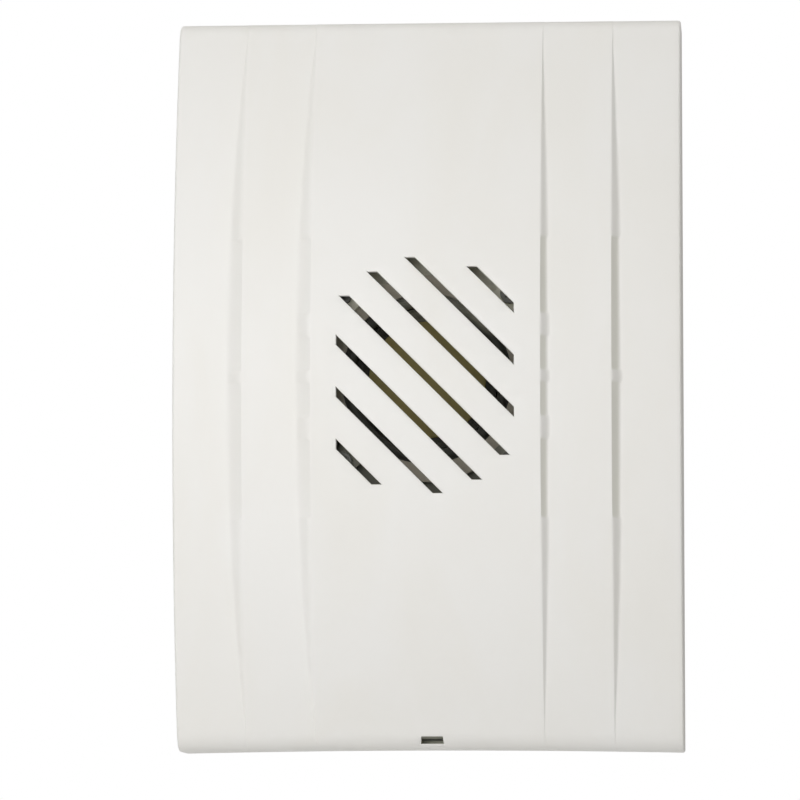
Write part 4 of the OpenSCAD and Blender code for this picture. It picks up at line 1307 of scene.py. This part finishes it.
@dataclass(frozen=True)
class CoverFinish:
    """White matte moulding of the cover: fine spark-eroded grain, faint flow marks, warm ageing and a few specks, with
    painted shade in the right-hand flats and in the release slot.
    """

    tone: Colour = (0.80, 0.792, 0.775)
    aged: Colour = (0.785, 0.772, 0.742)
    shaded: Colour = (0.72, 0.712, 0.662)
    shaded_crest: Point = (-0.1, 0.2)
    shaded_soft: float = 0.5
    release_painted_shade: Colour = (0.68, 0.68, 0.57)
    release_painted_shade_top: Colour = (0.20, 0.20, 0.16)
    release_painted_shade_span: Point = (0.6, 3.6)
    release_painted_shade_soft: float = 0.3
    release_painted_shade_skin: Point = (0.15, 0.4)
    release_painted_shade_split: Point = (-4.7, -4.3)
    fleck_tone: Colour = (0.30, 0.27, 0.22)
    fleck_scale: float = 75.0
    fleck_size: float = 0.018
    fleck_share: float = 0.5
    grain: float = 2600.0
    grain_share: float = 0.12
    grain_shade: float = 0.9
    bump: float = 0.1
    bump_depth: float = 0.0001
    flow_stretch: Tuple[float, float, float] = (3.0, 3.0, 1.0)
    flow_scale: float = 14.0
    dust: float = 0.12
    rough: float = 0.5
    rough_spread: float = 0.1

    def material(self, effects: Effects) -> bpy.types.Material:
        """Builds the material.

        Args:
            effects: Shared node groups.

        Returns:
            The material.
        """
        material = bpy.data.materials.new("cover_white")
        material.use_nodes = True
        net = Net(material.node_tree)
        shader = material.node_tree.nodes["Principled BSDF"]
        place = net.add("ShaderNodeTexCoord").outputs["Object"]
        grain = net.add("ShaderNodeGroup", node_tree=effects.grain, Vector=place, Scale=self.grain)
        long = net.add("ShaderNodeMapping", Vector=place, Scale=self.flow_stretch).outputs[0]
        flow = net.noise(long, self.flow_scale, Detail=4.0, Distortion=0.6)
        colour = net.mix(net.band(flow, 0.3, 0.75), self.tone, self.aged)
        # Painted shade: the flats of the right-hand steps are darkened where shadow falls on them.
        colour = net.mix(self._painted_shade_flats(net, place), colour, self.shaded)
        # Painted shade: the release slot's walls are darkened, most on the upper wall, standing in for the shade
        # inside the slot.
        walls, tone = self._release(net, place)
        colour = net.mix(walls, colour, tone)
        darker = tuple(c * self.grain_shade for c in self.tone)
        colour = net.mix(net.times(grain.outputs["Tone"], self.grain_share), colour, darker)
        spots = {"Scale": self.fleck_scale, "Size": self.fleck_size}
        fleck = net.add("ShaderNodeGroup", node_tree=effects.fleck, Vector=place, **spots)
        colour = net.mix(net.times(fleck.outputs["Mask"], self.fleck_share), colour, self.fleck_tone)
        dust = net.add("ShaderNodeGroup", node_tree=effects.dust, Vector=place, Amount=self.dust)
        colour = net.mix(dust.outputs["Mask"], colour, DUST_TONE)
        rough = net.math("ADD", net.times(flow, self.rough_spread), self.rough - self.rough_spread / 2.0)
        height = grain.outputs["Height"]
        bump = net.add("ShaderNodeBump", Strength=self.bump, Distance=self.bump_depth, Height=height)
        net.feed(shader.inputs["Base Color"], colour)
        net.feed(shader.inputs["Roughness"], rough)
        net.feed(shader.inputs["Normal"], bump.outputs[0])
        return material

    def _release(self, net: Net, place: Socket) -> Tuple[Socket, Socket]:
        """Finds the walls of the release slot, which get painted shade standing in for the deep shade inside the slot,
        darkest on its upper wall.

        Args:
            net: Builder of the material's tree.
            place: Place on the cover, in metres.

        Returns:
            The mask of the walls and their colour.
        """
        middle, half = self.release_painted_shade_span
        lift = OUTER.depth(middle, OUTER.turn_z) - OUTER.arch(0, OUTER.turn_z, -1.0)
        x, y, z = net.split(place)
        deep = net.math("ADD", y, (OUTER.roll_depth + lift) * MM)
        low = net.math("ADD", z, (OUTER.roll_z - OUTER.warp) * MM)
        start, end = ((OUTER.roll - skin) * MM for skin in self.release_painted_shade_skin)
        inside = net.band(net.length(deep, low), start, end)
        off = net.math("ABSOLUTE", net.math("SUBTRACT", x, middle * MM))
        wide = net.band(off, half * MM, (half - self.release_painted_shade_soft) * MM)
        upper = net.band(low, self.release_painted_shade_split[0] * MM, self.release_painted_shade_split[1] * MM)
        return net.times(inside, wide), net.mix(upper, self.release_painted_shade, self.release_painted_shade_top)

    def _painted_shade_flats(self, net: Net, place: Socket) -> Socket:
        """Finds the flats in the step faces on the right, which get painted shade: a darker, yellower tone standing in
        for the shadow that falls there.

        Args:
            net: Builder of the material's tree.
            place: Place on the cover, in metres.

        Returns:
            The mask.
        """
        x, _, z = net.split(place)
        height = net.math("ABSOLUTE", z)
        soft = self.shaded_soft
        mask: object = 0.0
        for panel in (1, 2):
            crest = OUTER.crest(panel, 1.0)
            foot = crest + OUTER.run(panel, 0.0, 1.0) / OUTER.flat_steepness[1]
            start, end = ((crest + part) * MM for part in self.shaded_crest)
            across = net.times(net.band(x, start, end), net.band(x, (foot + soft) * MM, (foot - soft) * MM))
            for low, high in OUTER.flats[panel - 1]:
                start = net.band(height, (low - soft) * MM, (low + soft) * MM)
                end = net.band(height, (high + soft) * MM, (high - soft) * MM)
                mask = net.math("MAXIMUM", mask, net.times(across, start, end))
        return mask


@dataclass
class InnerParts:
    """Finishes of the CAD pieces that keep their shape."""

    effects: Effects

    def dress(self) -> None:
        """Gives each CAD piece the finish of its slot in the record."""
        made: Dict[str, bpy.types.Material] = {}
        for part in frame["record"]["subparts"]:
            name, slot = part["node"], part["material_slot"]
            if name == "front_cover":
                continue
            if slot not in made:
                made[slot] = FINISHES[slot].material(self.effects)
            piece = frame["nodes"][name]
            piece.data.materials.clear()
            piece.data.materials.append(made[slot])
            LOG.info("%s: %s", name, slot)


@dataclass(frozen=True)
class SoftLight:
    """A round soft light that looks at the middle of the object."""

    name: str
    spot: Tuple[float, float, float]
    size: float
    watts: float


KEYS = (
    SoftLight("near_key", (-0.24, -0.55, 0.1), 0.35, 0.66),
    SoftLight("left_key", (-0.13, -0.48, 0.0), 0.3, 0.40),
    SoftLight("low_key", (-0.2, -0.7, -0.15), 0.35, 0.36),
    SoftLight("front_key", (-0.1, -1.3, 0.45), 0.7, 2.5),
    SoftLight("top_box", (0.0, -0.25, 1.4), 1.2, 5.0),
    SoftLight("back_key", (-0.75, 1.2, 0.75), 0.9, 3.9),
    SoftLight("back_fill", (0.95, 0.9, 0.6), 0.9, 2.9),
)


@dataclass
class Studio:
    """Camera, light and floor of the picture."""

    camera_at: Tuple[float, float, float] = (0.084, -1.374, -0.133)
    pitch: float = 5.431
    yaw: float = 3.881
    lens: float = 237.7
    sensor: float = 36.0
    clip: Point = (0.05, 20.0)
    floor_at: float = -0.24
    floor_half: float = 4.0
    fill_colour: Colour = (1.0, 0.985, 0.93)
    fill: float = 0.06
    fill_top: float = 0.54

    def build(self) -> None:
        """Sets up the whole studio."""
        self._camera()
        self._lights()
        self._world()
        self._floor()
        bpy.context.scene.view_settings.view_transform = "Standard"

    def _camera(self) -> None:
        """Adds the camera at the photo's place."""
        data = bpy.data.cameras.new("camera")
        data.lens = self.lens
        data.sensor_width = self.sensor
        data.clip_start, data.clip_end = self.clip
        camera = bpy.data.objects.new("camera", data)
        camera.location = self.camera_at
        camera.rotation_euler = (math.radians(90.0 + self.pitch), 0.0, math.radians(self.yaw))
        bpy.context.scene.collection.objects.link(camera)
        bpy.context.scene.camera = camera

    def _lights(self) -> None:
        """Adds the soft lights."""
        for key in KEYS:
            data = bpy.data.lights.new(key.name, "AREA")
            data.shape, data.size, data.energy = "DISK", key.size, key.watts
            light = bpy.data.objects.new(key.name, data)
            light.location = key.spot
            light.visible_camera = False
            light.rotation_euler = (-Vector(key.spot)).to_track_quat("-Z", "Y").to_euler()
            bpy.context.scene.collection.objects.link(light)

    def _world(self) -> None:
        """Makes the surroundings white for the camera and a soft fill for the object."""
        world = bpy.data.worlds.new("studio")
        world.use_nodes = True
        bpy.context.scene.world = world
        net = Net(world.node_tree)
        background = world.node_tree.nodes["Background"]
        up = net.split(net.add("ShaderNodeTexCoord").outputs["Generated"])[2]
        light = net.math("MULTIPLY_ADD", net.math("MAXIMUM", up, 0.0), self.fill_top, self.fill)
        seen = net.add("ShaderNodeLightPath").outputs["Is Camera Ray"]
        shown = net.math("ADD", seen, net.times(net.math("SUBTRACT", 1.0, seen), light))
        net.feed(background.inputs["Color"], net.mix(seen, self.fill_colour, (1.0, 1.0, 1.0)))
        net.feed(background.inputs["Strength"], shown)

    def _floor(self) -> None:
        """Adds the pale floor."""
        mesh = bpy.data.meshes.new("floor")
        half = self.floor_half
        mesh.from_pydata([(-half, -half, 0), (half, -half, 0), (half, half, 0), (-half, half, 0)], [], [(0, 1, 2, 3)])
        floor = bpy.data.objects.new("floor", mesh)
        floor.location.z = self.floor_at
        bpy.context.scene.collection.objects.link(floor)


def main() -> None:
    """Builds the whole scene."""
    effects = Effects()
    shell = FrontCover().build()
    shell.data.materials.append(CoverFinish().material(effects))
    InnerParts(effects).dress()
    Studio().build()


if __name__ == "__main__":
    main()
